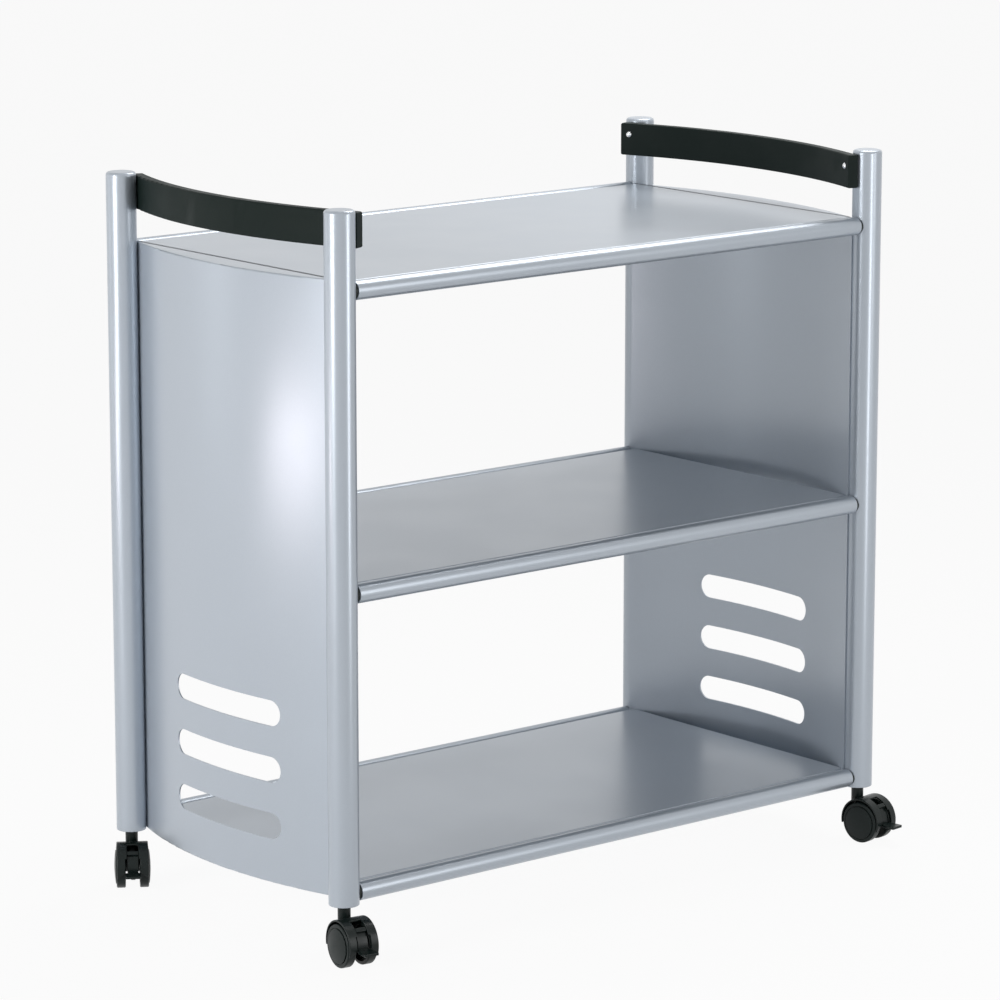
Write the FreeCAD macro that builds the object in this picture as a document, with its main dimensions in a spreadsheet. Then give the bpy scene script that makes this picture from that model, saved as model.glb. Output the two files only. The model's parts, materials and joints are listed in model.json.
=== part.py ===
"""Three-shelf office cart: tubular posts, bowed end panels and handles, twin-wheel casters with brake pedals.

The origin is on the floor under the middle of the cart. X runs along the cart, Y across it and Z up.
"""

import FreeCAD
import Part

import math
import os
import re

import Sketcher

# How near an edge has to be to a place to count as lying on it, in millimetres
NEAR = 0.001

# Turns in degrees, as the expressions spell them
QUARTER_TURN = "90"
HALF_TURN = "180"
FULL_TURN = 360

SLOT_COUNT = 3

# Driving sizes in millimetres, and in degrees where the name ends in angle
SIZES = {
    # Posts and their ends
    "post_spacing_long": 800.0,
    "post_spacing_wide": 409.2,
    "post_diameter": 35.0,
    "post_wall": 1.5,
    "post_foot_height": 66.5,
    "overall_height": 851.0,
    "cap_height": 6.0,
    "cap_edge_radius": 4.0,
    "cap_spigot_depth": 6.0,
    "cap_wall": 1.8,
    "insert_clearance": 0.1,
    "socket_depth": 40.0,
    "socket_relief": 2.0,
    "socket_band": 6.0,
    "stem_diameter": 10.0,
    "stem_reach_down": 34.0,
    "stem_groove_depth": 0.8,
    "stem_groove_width": 2.0,
    "stem_groove_inset": 6.0,
    "stem_point": 2.0,
    # Shelf tubes and what joins them to the posts
    "tube_diameter": 22.0,
    "tube_wall": 1.5,
    "tube_end_gap": 0.9,
    "tube_height_bottom": 78.2,
    "middle_shelf_share": 0.50132,
    "top_shelf_drop": 90.8,
    "plug_flange_step": 1.2,
    "plug_depth": 28.0,
    "spigot_diameter": 12.0,
    "spigot_overreach": 8.0,
    "grub_diameter": 6.0,
    "grub_inset": 14.0,
    "grub_recess": 0.5,
    # Folded sheet shelves
    "shelf_rise": 9.5,
    "shelf_sheet": 1.2,
    "shelf_flange": 20.0,
    "shelf_bend_radius": 1.5,
    "shelf_seat_bite": 0.3,
    "shelf_post_gap": 0.15,
    "rib_width": 60.0,
    "rib_depth": 14.0,
    # Bowed end panels
    "panel_radius": 600.0,
    "panel_sheet": 2.0,
    "panel_seat_bite": 0.3,
    "panel_end_inset": 6.2,
    "panel_foot_rise": 0.5,
    "panel_bend_radius": 1.8,
    "panel_seam_gap": 0.4,
    "slot_length": 194.0,
    "slot_height": 30.0,
    "slot_pitch": 66.0,
    "slot_first_height": 133.8,
    "slot_shift": 4.0,
    # Bowed handles
    "handle_inner_radius": 569.0,
    "handle_thickness": 12.4,
    "handle_height": 40.0,
    "handle_drop": 4.5,
    "handle_seat_bite": 0.3,
    "handle_end_overhang": 0.4,
    "handle_edge_radius": 2.0,
    "handle_screw_rise": 26.0,
    "screw_shank_diameter": 5.0,
    "screw_head_diameter": 8.0,
    "screw_head_rise": 2.6,
    "screw_hole_clearance": 0.2,
    "nut_diameter": 8.0,
    "nut_length": 12.0,
    "nut_bulge_diameter": 11.0,
    "nut_bulge_length": 3.0,
    # Caster wheels
    "wheel_diameter": 50.0,
    "wheel_gap": 17.0,
    "wheel_width": 10.5,
    "wheel_edge_radius": 1.2,
    "wheel_rim_thickness": 4.0,
    "wheel_hub_diameter": 14.0,
    "wheel_recess_depth": 6.0,
    "wheel_bore_depth": 8.0,
    "disc_diameter": 40.0,
    "disc_groove_width": 0.9,
    "disc_groove_depth": 0.9,
    "disc_edge_rise": 0.9,
    "disc_dome_rise": 1.5,
    "axle_diameter": 6.0,
    "axle_end_gap": 0.3,
    "running_clearance": 0.08,
    "side_clearance": 0.3,
    # Caster housings
    "caster_trail": 18.0,
    "hood_inner_radius": 26.2,
    "hood_wall": 2.0,
    "hood_width": 37.0,
    "hood_rise": 1.5,
    "hood_front_drop_angle": 19.0,
    "hood_rear_drop_angle": 12.0,
    "hood_edge_radius": 0.8,
    "window_width": 14.0,
    "window_top_angle": 77.0,
    "window_foot_angle": 33.0,
    "mouth_width": 18.4,
    "web_width": 6.4,
    "web_front_angle": 112.0,
    "hub_diameter": 12.0,
    "boss_diameter": 14.8,
    "boss_foot_height": 24.0,
    "boss_top_gap": 0.3,
    "stem_bore_floor": 2.0,
    # Brake pedals
    "pivot_radius": 21.0,
    "pivot_angle": 46.0,
    "lug_radius": 3.2,
    "brake_pin_diameter": 2.5,
    "lever_width": 13.0,
    "lever_bar_sink": 0.2,
    "lever_bar_top_angle": 51.5,
    "lever_bar_foot_angle": 41.5,
    "lever_plate_radius": 24.7,
    "lever_plate_wall": 2.7,
    "lever_plate_top_angle": 40.0,
    "lever_arm_foot_angle": 30.0,
    "pedal_width": 17.8,
    "pedal_thickness": 3.0,
    "pedal_root_gap": 3.4,
    "pedal_reach": 45.0,
    "pedal_corner_radius": 1.2,
    "pedal_rib_width": 5.0,
    "pedal_rib_depth": 5.0,
    "pedal_rib_foot_share": 0.15,
    "pedal_rib_tip_share": 0.75,
    # Directions in which the four casters trail, measured from +X
    "trail_front_left_angle": -98.5,
    "trail_front_right_angle": -82.0,
    "trail_back_left_angle": -124.0,
    "trail_back_right_angle": 64.0,
    "cut_overrun": 5.0,
}

# Sizes that follow from the driving ones
FORMULAS = {
    "half_long": "post_spacing_long / 2",
    "half_wide": "post_spacing_wide / 2",
    "post_radius": "post_diameter / 2",
    "post_bore_radius": "post_radius - post_wall",
    "post_top": "overall_height - cap_height",
    "insert_radius": "post_bore_radius - insert_clearance",
    "stem_radius": "stem_diameter / 2",
    "stem_foot": "post_foot_height - stem_reach_down",
    "stem_top": "post_foot_height + socket_depth",
    "groove_low": "stem_top - stem_groove_inset - stem_groove_width",
    "tube_radius": "tube_diameter / 2",
    "tube_bore_radius": "tube_radius - tube_wall",
    "tube_end": "post_radius + tube_end_gap",
    "plug_radius": "tube_radius - plug_flange_step",
    "spigot_radius": "spigot_diameter / 2",
    "grub_radius": "grub_diameter / 2",
    "grub_place": "tube_end + grub_inset",
    "tube_height_top": "overall_height - top_shelf_drop",
    "tube_height_middle": "tube_height_bottom + middle_shelf_share * (tube_height_top - tube_height_bottom)",
    "top_surface": "tube_height_top + shelf_rise",
    "shelf_half_wide": "half_wide - tube_radius + shelf_seat_bite",
    "shelf_corner_reach": "sqrt(post_radius ^ 2 - (tube_radius - shelf_seat_bite) ^ 2)",
    "shelf_half_long": "half_long - shelf_corner_reach - shelf_post_gap",
    "panel_axis": "half_long - sqrt((panel_radius + post_radius - panel_seat_bite) ^ 2 - half_wide ^ 2)",
    "panel_inner_radius": "panel_radius - panel_sheet",
    "panel_middle_radius": "panel_radius - panel_sheet / 2",
    "panel_end": "half_wide - panel_end_inset",
    "panel_foot": "post_foot_height + panel_foot_rise",
    "rim_edge": "shelf_half_long + panel_seam_gap",
    "rim_corner": "sqrt(panel_middle_radius ^ 2 - (rim_edge - panel_axis) ^ 2)",
    "slot_radius": "slot_height / 2",
    "slot_half_run": "slot_length / 2 - slot_radius",
    "handle_bottom": "overall_height - handle_drop - handle_height",
    "handle_outer_radius": "handle_inner_radius + handle_thickness",
    "handle_post_distance": "handle_outer_radius + post_radius - handle_seat_bite",
    "handle_axis": "half_long - sqrt(handle_post_distance ^ 2 - half_wide ^ 2)",
    "handle_heading": "asin(half_wide / handle_post_distance) / (1 deg)",
    "handle_inner_end": "half_wide + handle_end_overhang",
    "handle_outer_end": "handle_inner_end * handle_outer_radius / handle_inner_radius",
    "handle_face": "post_radius - handle_seat_bite + handle_thickness",
    "screw_height": "handle_bottom + handle_screw_rise",
    "screw_radius": "screw_shank_diameter / 2",
    "screw_head_radius": "screw_head_diameter / 2",
    "nut_radius": "nut_diameter / 2",
    "nut_bulge_radius": "nut_bulge_diameter / 2",
    "nut_mouth": "sqrt(post_radius ^ 2 - nut_radius ^ 2)",
    "nut_tip": "nut_mouth - nut_length",
    "bulge_seat": "sqrt(post_bore_radius ^ 2 - nut_bulge_radius ^ 2)",
    "wheel_radius": "wheel_diameter / 2",
    "wheel_inside": "wheel_gap / 2",
    "wheel_face": "wheel_inside + wheel_width",
    "wheel_rim_radius": "wheel_radius - wheel_rim_thickness",
    "wheel_hub_radius": "wheel_hub_diameter / 2",
    "wheel_floor": "wheel_inside + wheel_recess_depth",
    "disc_radius": "disc_diameter / 2",
    "disc_edge": "wheel_face + disc_edge_rise",
    "disc_top": "disc_edge + disc_dome_rise",
    "axle_radius": "axle_diameter / 2",
    "axle_half": "wheel_inside + wheel_bore_depth - axle_end_gap",
    "hood_axis": "wheel_radius + hood_rise",
    "hood_radius": "hood_inner_radius + hood_wall",
    "hood_middle_radius": "hood_inner_radius + hood_wall / 2",
    "window_foot": "hood_axis + hood_inner_radius * sin(window_foot_angle)",
    "cheek_foot": "hood_axis - hood_radius * sin(hood_front_drop_angle)",
    "hub_radius": "hub_diameter / 2",
    "hub_length": "wheel_gap - 2 * side_clearance",
    "boss_radius": "boss_diameter / 2",
    "boss_top": "post_foot_height - boss_top_gap",
    "pivot_x": "caster_trail + pivot_radius * cos(pivot_angle)",
    "pivot_z": "wheel_radius + pivot_radius * sin(pivot_angle)",
    "brake_pin_radius": "brake_pin_diameter / 2",
    "lever_bar_radius": "hood_radius - lever_bar_sink",
    "lever_inner_radius": "lever_plate_radius - lever_plate_wall",
    "lever_eye_radius": "lug_radius + 2 * side_clearance",
    "pedal_top": "wheel_radius",
    "pedal_under": "wheel_radius - pedal_thickness",
    "pedal_root": "caster_trail + wheel_radius + pedal_root_gap",
    "pedal_tip": "caster_trail + pedal_reach",
}

# Where the hood ends behind its wheels, as an angle above the forward horizontal
HOOD_REAR = f"{HALF_TURN} + hood_rear_drop_angle"

SHELVES = ("bottom", "middle", "top")
SIDES = {"left": -1, "right": 1}
ROWS = {"front": -1, "back": 1}
CORNERS = [(row, side) for row in ROWS for side in SIDES]

document = FreeCAD.newDocument("OfficeCart")
sheet = document.addObject("Spreadsheet::Sheet", "Sizes")
nodes = {}


def fill_sheet():
    """Writes each driving size into its own cell, under its name."""
    for line, (name, number) in enumerate(SIZES.items(), start=1):
        sheet.set(f"A{line}", name)
        sheet.set(f"B{line}", str(number))
        sheet.setAlias(f"B{line}", name)
    document.recompute()


def bound(text):
    """An expression in which every name is spelt out down to its cell."""

    def spell(match):
        word = match.group()
        if word in FORMULAS:
            return f"({bound(FORMULAS[word])})"
        if word in SIZES:
            return f"Sizes.{word}"
        return word

    return re.sub(r"[a-z_]+", spell, text)


def value(text):
    """The number that an expression stands for now."""
    return float(sheet.evalExpression(bound(text)))


def place(item, along="0", across="0", up="0", turn="0"):
    """Binds a piece's place, and its turn about the vertical, to the sheet."""
    for axis, text in zip("xyz", (along, across, up)):
        item.setExpression(f"Placement.Base.{axis}", bound(text))
    item.setExpression("Placement.Rotation.Angle", bound(turn))


def hold(drawing, kind, elements, text):
    """Adds a dimension to a sketch and binds it to the sheet."""
    number = drawing.addConstraint(Sketcher.Constraint(kind, *elements, value(text)))
    drawing.setExpression(f"Constraints[{number}]", bound(text))


def pin_point(drawing, geometry, point, x, y):
    """Fixes a point of a sketch at a place written as two expressions."""
    origin = (-1, 1)
    if x == "0" and y == "0":
        drawing.addConstraint(Sketcher.Constraint("Coincident", geometry, point, *origin))
        return
    if x == "0":
        drawing.addConstraint(Sketcher.Constraint("PointOnObject", geometry, point, -2))
    else:
        hold(drawing, "DistanceX", (*origin, geometry, point), x)
    if y == "0":
        drawing.addConstraint(Sketcher.Constraint("PointOnObject", geometry, point, -1))
    else:
        hold(drawing, "DistanceY", (*origin, geometry, point), y)


def circle(drawing, radius, x="0", y="0"):
    """A circle of a bound radius about a bound centre."""
    centre = FreeCAD.Vector(value(x), value(y), 0)
    ring = drawing.addGeometry(Part.Circle(centre, FreeCAD.Vector(0, 0, 1), value(radius)))
    hold(drawing, "Radius", (ring,), radius)
    pin_point(drawing, ring, 3, x, y)


def arc_between(start, end, radius, turn):
    """The shorter arc from start to end, turning left or right, and which of its ends is the start."""
    chord = end - start
    half = chord.Length / 2
    left = FreeCAD.Vector(-chord.y, chord.x, 0).normalize()
    rise = math.sqrt(max(radius * radius - half * half, 0.0))
    sign = 1 if turn == "left" else -1
    centre = (start + end) / 2 + left * (sign * rise)
    first, last = (start, end) if sign > 0 else (end, start)
    angles = [math.atan2(point.y - centre.y, point.x - centre.x) for point in (first, last)]
    full = Part.Circle(centre, FreeCAD.Vector(0, 0, 1), radius)
    return Part.ArcOfCircle(full, *angles), (1, 2) if sign > 0 else (2, 1)


def outline(drawing, corners):
    """A closed outline. A corner is (x, y), or (x, y, radius, turn) where an arc leaves it."""
    points = [FreeCAD.Vector(value(corner[0]), value(corner[1]), 0) for corner in corners]
    sides = []
    for index, corner in enumerate(corners):
        start, end = points[index], points[(index + 1) % len(points)]
        if len(corner) == 2:
            sides.append((drawing.addGeometry(Part.LineSegment(start, end)), 1, 2))
        else:
            arc, (first, last) = arc_between(start, end, value(corner[2]), corner[3])
            side = drawing.addGeometry(arc)
            hold(drawing, "Radius", (side,), corner[2])
            sides.append((side, first, last))
    for (side, _, last), (following, first, _) in zip(sides, sides[1:] + sides[:1]):
        drawing.addConstraint(Sketcher.Constraint("Coincident", side, last, following, first))
    for (side, first, _), corner in zip(sides, corners):
        pin_point(drawing, side, first, corner[0], corner[1])


def rectangle(drawing, half_x, low_y, high_y):
    """A rectangle centred on the sketch's vertical axis."""
    outline(drawing, [
        (f"-({half_x})", low_y),
        (half_x, low_y),
        (half_x, high_y),
        (f"-({half_x})", high_y),
    ])


def slot(drawing, middle_x, middle_y, half_run, radius):
    """A round-ended slot lying along the sketch's horizontal axis."""
    reach, rise = value(half_run), value(radius)
    centre = FreeCAD.Vector(value(middle_x), value(middle_y), 0)
    run, up = FreeCAD.Vector(reach, 0, 0), FreeCAD.Vector(0, rise, 0)
    rings = [Part.Circle(spot, FreeCAD.Vector(0, 0, 1), rise) for spot in (centre + run, centre - run)]
    quarter = math.pi / 2
    right = drawing.addGeometry(Part.ArcOfCircle(rings[0], -quarter, quarter))
    left = drawing.addGeometry(Part.ArcOfCircle(rings[1], quarter, 3 * quarter))
    over = drawing.addGeometry(Part.LineSegment(centre + run + up, centre - run + up))
    under = drawing.addGeometry(Part.LineSegment(centre - run - up, centre + run - up))
    for joint in ((right, 2, over, 1), (over, 2, left, 1), (left, 2, under, 1), (under, 2, right, 1)):
        drawing.addConstraint(Sketcher.Constraint("Tangent", *joint))
    hold(drawing, "Radius", (right,), radius)
    drawing.addConstraint(Sketcher.Constraint("Equal", right, left))
    pin_point(drawing, right, 3, f"{middle_x} + ({half_run})", middle_y)
    pin_point(drawing, left, 3, f"{middle_x} - ({half_run})", middle_y)


def new_body(label):
    """An empty body that carries a piece's own name."""
    body = document.addObject("PartDesign::Body", label)
    body.Label = label
    return body


def sketch_on(body, role, offset="0"):
    """A sketch on one of the body's own planes, or at an offset from it."""
    plane = next(item for item in body.Origin.OriginFeatures if item.Role == role)
    drawing = body.newObject("Sketcher::SketchObject", f"{body.Name}_outline")
    drawing.AttachmentSupport = (plane, [""])
    drawing.MapMode = "FlatFace"
    if offset != "0":
        drawing.setExpression("AttachmentOffset.Base.z", bound(offset))
    return drawing


def pad(body, drawing, length, side="One side"):
    """Adds material from a sketch, on one side of it or symmetrically."""
    feature = body.newObject("PartDesign::Pad", f"{body.Name}_pad")
    feature.Profile = drawing
    feature.SideType = side
    feature.setExpression("Length", bound(length))
    return feature


def pocket(body, drawing, length=None, side="One side", forwards=False):
    """Cuts a sketch out of the body against its normal, along it or both ways, by a length or all through."""
    document.recompute()
    before = body.Shape.Volume
    feature = body.newObject("PartDesign::Pocket", f"{body.Name}_pocket")
    feature.Profile = drawing
    feature.SideType = side
    feature.Reversed = forwards
    if length is None:
        feature.Type = "ThroughAll"
    else:
        feature.setExpression("Length", bound(length))
    document.recompute()
    if not body.Shape.Volume < before:
        raise ValueError(f"{feature.Name} cuts nothing")
    return feature


def revolve(body, drawing, axis="V_Axis"):
    """Turns a profile all the way round one of its sketch's axes."""
    feature = body.newObject("PartDesign::Revolution", f"{body.Name}_turn")
    feature.Profile = drawing
    feature.ReferenceAxis = (drawing, [axis])
    feature.Angle = FULL_TURN
    return feature


def fillet(body, radius, chosen):
    """Rounds the edges that a test chooses."""
    document.recompute()
    tip = body.Tip
    names = [f"Edge{index}" for index, edge in enumerate(tip.Shape.Edges, start=1) if chosen(edge)]
    feature = body.newObject("PartDesign::Fillet", f"{body.Name}_fillet")
    feature.Base = (tip, names)
    feature.setExpression("Radius", bound(radius))
    return feature


def level_at(text):
    """A test for edges that lie flat at a height."""
    height = value(text)
    return lambda edge: max(abs(edge.BoundBox.ZMin - height), abs(edge.BoundBox.ZMax - height)) < NEAR


def cut(label, base, tool):
    """One piece minus another, under the piece's own name."""
    feature = document.addObject("Part::Cut", label)
    feature.Label = label
    feature.Base = base
    feature.Tool = tool
    return feature


def upright_cylinder(name, radius, height):
    """A plain cylinder that stands half below its own place and half above it, to cut with."""
    tool = document.addObject("Part::Cylinder", name)
    tool.setExpression("Radius", bound(radius))
    tool.setExpression("Height", bound(height))
    tool.setExpression("Placement.Base.z", bound(f"-({height}) / 2"))
    return tool


def group(label, masters, places):
    """Several like pieces as one node: each is a copy of its master at its own place."""
    copies = []
    for number, (master, spot) in enumerate(zip(masters, places), start=1):
        copy = document.addObject("App::Link", f"{label}_copy_{number}")
        copy.LinkedObject = master
        copy.LinkTransform = True
        place(copy, *spot)
        copies.append(copy)
    bundle = document.addObject("Part::Compound", label)
    bundle.Label = label
    bundle.Links = copies
    nodes[label] = bundle


def post_place(row, side, turn="0", up="0"):
    """Where a post's axis stands, with a turn about it."""
    return f"{SIDES[side]} * half_long", f"{ROWS[row]} * half_wide", up, turn


def heading_to_handle(row, side):
    """The direction from a post's axis to the centre of the handle's bow."""
    return f"{heading_inwards(side)} + {SIDES[side] * ROWS[row]} * handle_heading"


def heading_inwards(side):
    """The direction from an end of the cart towards its middle."""
    return HALF_TURN if side == "right" else "0"


def heading_outwards(side):
    """The direction from the cart's middle towards one of its ends."""
    return "0" if side == "right" else HALF_TURN


# Posts and what is fitted into their ends
def make_post(row, side):
    """A tube with one hole for a rivet nut. Its own X axis points at the centre of the handle's bow."""
    body = new_body(f"post_{row}_{side}")
    ring = sketch_on(body, "XY_Plane", "post_foot_height")
    circle(ring, "post_radius")
    circle(ring, "post_bore_radius")
    pad(body, ring, "post_top - post_foot_height")
    hole = sketch_on(body, "YZ_Plane")
    circle(hole, "nut_radius", "0", "screw_height")
    pocket(body, hole, forwards=True)
    place(body, *post_place(row, side, heading_to_handle(row, side)))
    nodes[body.Label] = body


def make_cap(row, side):
    """A hollow cap with a rounded edge, pushed into the post's top end."""
    body = new_body(f"post_cap_{row}_{side}")
    profile = sketch_on(body, "XZ_Plane")
    outline(profile, [
        ("0", "overall_height - cap_wall"),
        ("insert_radius - cap_wall", "overall_height - cap_wall"),
        ("insert_radius - cap_wall", "post_top - cap_spigot_depth"),
        ("insert_radius", "post_top - cap_spigot_depth"),
        ("insert_radius", "post_top"),
        ("post_radius", "post_top"),
        ("post_radius", "overall_height - cap_edge_radius", "cap_edge_radius", "left"),
        ("post_radius - cap_edge_radius", "overall_height"),
        ("0", "overall_height"),
    ])
    revolve(body, profile)
    place(body, *post_place(row, side))
    nodes[body.Label] = body


def make_socket(row, side):
    """The moulded plug that holds a caster's stem, flush with the post's foot and relieved at its waist."""
    body = new_body(f"caster_socket_{row}_{side}")
    profile = sketch_on(body, "XZ_Plane")
    outline(profile, [
        ("stem_radius", "post_foot_height"),
        ("insert_radius", "post_foot_height"),
        ("insert_radius", "post_foot_height + socket_band"),
        ("insert_radius - socket_relief", "post_foot_height + socket_band"),
        ("insert_radius - socket_relief", "stem_top - socket_band"),
        ("insert_radius", "stem_top - socket_band"),
        ("insert_radius", "stem_top"),
        ("stem_radius", "stem_top"),
    ])
    revolve(body, profile)
    place(body, *post_place(row, side))
    nodes[body.Label] = body


def make_stem(row, side):
    """The steel pin on which a caster swivels, with a ring groove and a tapered top."""
    body = new_body(f"caster_stem_{row}_{side}")
    profile = sketch_on(body, "XZ_Plane")
    outline(profile, [
        ("0", "stem_foot"),
        ("stem_radius", "stem_foot"),
        ("stem_radius", "groove_low"),
        ("stem_radius - stem_groove_depth", "groove_low"),
        ("stem_radius - stem_groove_depth", "groove_low + stem_groove_width"),
        ("stem_radius", "groove_low + stem_groove_width"),
        ("stem_radius", "stem_top - stem_point"),
        ("stem_radius - stem_point", "stem_top"),
        ("0", "stem_top"),
    ])
    revolve(body, profile)
    place(body, *post_place(row, side))
    nodes[body.Label] = body


# Shelf tubes and their joints
def make_tube(shelf, row):
    """A tube between two posts, drilled from below for a grub screw near each end."""
    body = new_body(f"shelf_tube_{shelf}_{row}")
    ring = sketch_on(body, "YZ_Plane")
    circle(ring, "tube_radius")
    circle(ring, "tube_bore_radius")
    pad(body, ring, "2 * (half_long - tube_end)", "Symmetric")
    holes = sketch_on(body, "XY_Plane")
    for sign in SIDES.values():
        circle(holes, "grub_radius", f"{sign} * (half_long - grub_place)", "0")
    pocket(body, holes)
    place(body, "0", f"{ROWS[row]} * half_wide", f"tube_height_{shelf}")
    nodes[body.Label] = body


def joint_places(shelf):
    """Where the four joints of a shelf's tubes are, each turned to face along its tube."""
    return [post_place(row, side, heading_inwards(side), f"tube_height_{shelf}") for row, side in CORNERS]


def make_tube_joints():
    """Plugs, spigots and grub screws, modelled once along +X from a post's axis and copied to every joint."""
    post = upright_cylinder("post_to_cut_with", "post_radius", "2 * tube_diameter")

    plug = new_body("plug_before_coping")
    profile = sketch_on(plug, "XZ_Plane")
    outline(profile, [
        ("0", "spigot_radius"),
        ("tube_end + plug_depth", "spigot_radius"),
        ("tube_end + plug_depth", "tube_bore_radius - insert_clearance"),
        ("tube_end", "tube_bore_radius - insert_clearance"),
        ("tube_end", "plug_radius"),
        ("0", "plug_radius"),
    ])
    revolve(plug, profile, "H_Axis")
    hole = sketch_on(plug, "XY_Plane")
    circle(hole, "grub_radius", "grub_place", "0")
    pocket(plug, hole)
    coped_plug = cut("coped_plug", plug, post)
    trimmed_plug = cut("trimmed_plug", coped_plug, make_panel_edge())
    mirrored_plug = document.addObject("Part::Mirroring", "mirrored_plug")
    mirrored_plug.Source = trimmed_plug
    mirrored_plug.Normal = FreeCAD.Vector(0, 1, 0)
    plugs = {1: trimmed_plug, -1: mirrored_plug}

    spigot = new_body("spigot_before_coping")
    bar = sketch_on(spigot, "YZ_Plane")
    circle(bar, "spigot_radius")
    pad(spigot, bar, "tube_end + plug_depth + spigot_overreach")
    coped_spigot = cut("coped_spigot", spigot, post)

    grub = new_body("grub_screw")
    end = sketch_on(grub, "XY_Plane", "grub_recess - tube_radius")
    circle(end, "grub_radius", "grub_place", "0")
    pad(grub, end, "tube_radius - grub_recess - spigot_radius")

    hands = [plugs[ROWS[row] * SIDES[side]] for row, side in CORNERS]
    for shelf in SHELVES:
        group(f"tube_plugs_{shelf}", hands, joint_places(shelf))
    everywhere = [spot for shelf in SHELVES for spot in joint_places(shelf)]
    group("tube_spigots", [coped_spigot] * len(everywhere), everywhere)
    group("grub_screws", [grub] * len(everywhere), everywhere)


def make_panel_edge():
    """The edge of an end panel's sheet as the joints of a back right post meet it, as a solid to cut with."""
    edge = new_body("panel_edge")
    strip = sketch_on(edge, "XY_Plane")
    bow(strip, "panel_axis", "panel_inner_radius", "panel_radius + cut_overrun", "panel_end", "panel_end")
    pad(edge, strip, "2 * tube_diameter", "Symmetric")
    place(edge, "half_long", "half_wide", "0", HALF_TURN)
    return edge


# Shelves
def make_shelf(shelf):
    """A tray of folded sheet with a channel below it, bedded against the tubes and clear of the panels."""
    body = new_body(f"shelf_{shelf}")
    under = "shelf_rise - shelf_flange"
    tray = sketch_on(body, "XY_Plane", under)
    rectangle(tray, "shelf_half_long", "-shelf_half_wide", "shelf_half_wide")
    pad(body, tray, "shelf_flange")
    fillet(body, "shelf_bend_radius", level_at("shelf_rise"))
    hollow = sketch_on(body, "XY_Plane", under)
    inner_wide = "shelf_half_wide - shelf_sheet"
    rectangle(hollow, "shelf_half_long - shelf_sheet", f"-({inner_wide})", inner_wide)
    pocket(body, hollow, "shelf_flange - shelf_sheet", forwards=True)
    channel = sketch_on(body, "YZ_Plane")
    top, floor = "shelf_rise - shelf_sheet / 2", "shelf_rise - shelf_sheet - rib_depth"
    outline(channel, [
        ("-rib_width / 2", top),
        ("-rib_width / 2", floor),
        ("rib_width / 2", floor),
        ("rib_width / 2", top),
        ("rib_width / 2 - shelf_sheet", top),
        ("rib_width / 2 - shelf_sheet", f"{floor} + shelf_sheet"),
        ("shelf_sheet - rib_width / 2", f"{floor} + shelf_sheet"),
        ("shelf_sheet - rib_width / 2", top),
    ])
    pad(body, channel, "2 * shelf_half_long - shelf_sheet", "Symmetric")
    seats = sketch_on(body, "YZ_Plane")
    for sign in ROWS.values():
        circle(seats, "tube_radius", f"{sign} * half_wide", "0")
    pocket(body, seats, side="Symmetric")
    corners = sketch_on(body, "XY_Plane")
    inside, outside = "panel_inner_radius - panel_seam_gap", "panel_radius + cut_overrun"
    for sign in SIDES.values():
        bow(corners, "panel_axis", inside, outside, "half_wide", "half_wide", sign)
    pocket(body, corners, side="Symmetric")
    place(body, up=f"tube_height_{shelf}")
    nodes[body.Label] = body


# End panels
def bow(drawing, axis, inner, outer, inner_end, outer_end, side=1):
    """A strip between two arcs about one centre on the X axis, bowed towards +X, or towards -X on side -1."""
    inner_x = f"{side} * ({axis} + sqrt(({inner}) ^ 2 - ({inner_end}) ^ 2))"
    outer_x = f"{side} * ({axis} + sqrt(({outer}) ^ 2 - ({outer_end}) ^ 2))"
    onwards, back = ("left", "right") if side == 1 else ("right", "left")
    outline(drawing, [
        (outer_x, f"-({outer_end})", outer, onwards),
        (outer_x, outer_end),
        (inner_x, inner_end, inner, back),
        (inner_x, f"-({inner_end})"),
    ])


def seat_on_posts(body):
    """Cuts the posts' round sides out of a piece that is fixed to them."""
    seats = sketch_on(body, "XY_Plane")
    for sign in ROWS.values():
        circle(seats, "post_radius", "half_long", f"{sign} * half_wide")
    pocket(body, seats, forwards=True)


def add_rim(body, height):
    """An inward rim that fills the bow as far as the shelf's straight end."""
    rim = sketch_on(body, "XY_Plane", height)
    outline(rim, [
        ("rim_edge", "-rim_corner", "panel_middle_radius", "left"),
        ("rim_edge", "rim_corner"),
    ])
    pad(body, rim, "panel_sheet")


def make_panel(side):
    """A bowed sheet with folded rims and three slots, modelled on +X and turned about for the left end."""
    body = new_body(f"end_panel_{side}")
    strip = sketch_on(body, "XY_Plane", "panel_foot")
    bow(strip, "panel_axis", "panel_inner_radius", "panel_radius", "panel_end", "panel_end")
    pad(body, strip, "top_surface - panel_foot")
    add_rim(body, "top_surface - panel_sheet")
    add_rim(body, "panel_foot")
    outside = value("panel_radius")
    at_top, at_foot = level_at("top_surface"), level_at("panel_foot")
    fillet(body, "panel_bend_radius", lambda edge: is_arc(edge, outside) and (at_top(edge) or at_foot(edge)))
    seat_on_posts(body)
    slots = sketch_on(body, "YZ_Plane")
    for step in range(SLOT_COUNT):
        height = f"slot_first_height + {step} * slot_pitch"
        slot(slots, f"{-SIDES[side]} * slot_shift", height, "slot_half_run", "slot_radius")
    pocket(body, slots, forwards=True)
    place(body, turn=heading_outwards(side))
    nodes[body.Label] = body


def is_arc(edge, radius):
    """Whether an edge is part of a circle of a radius."""
    return isinstance(edge.Curve, Part.Circle) and abs(edge.Curve.Radius - radius) < NEAR


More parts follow.
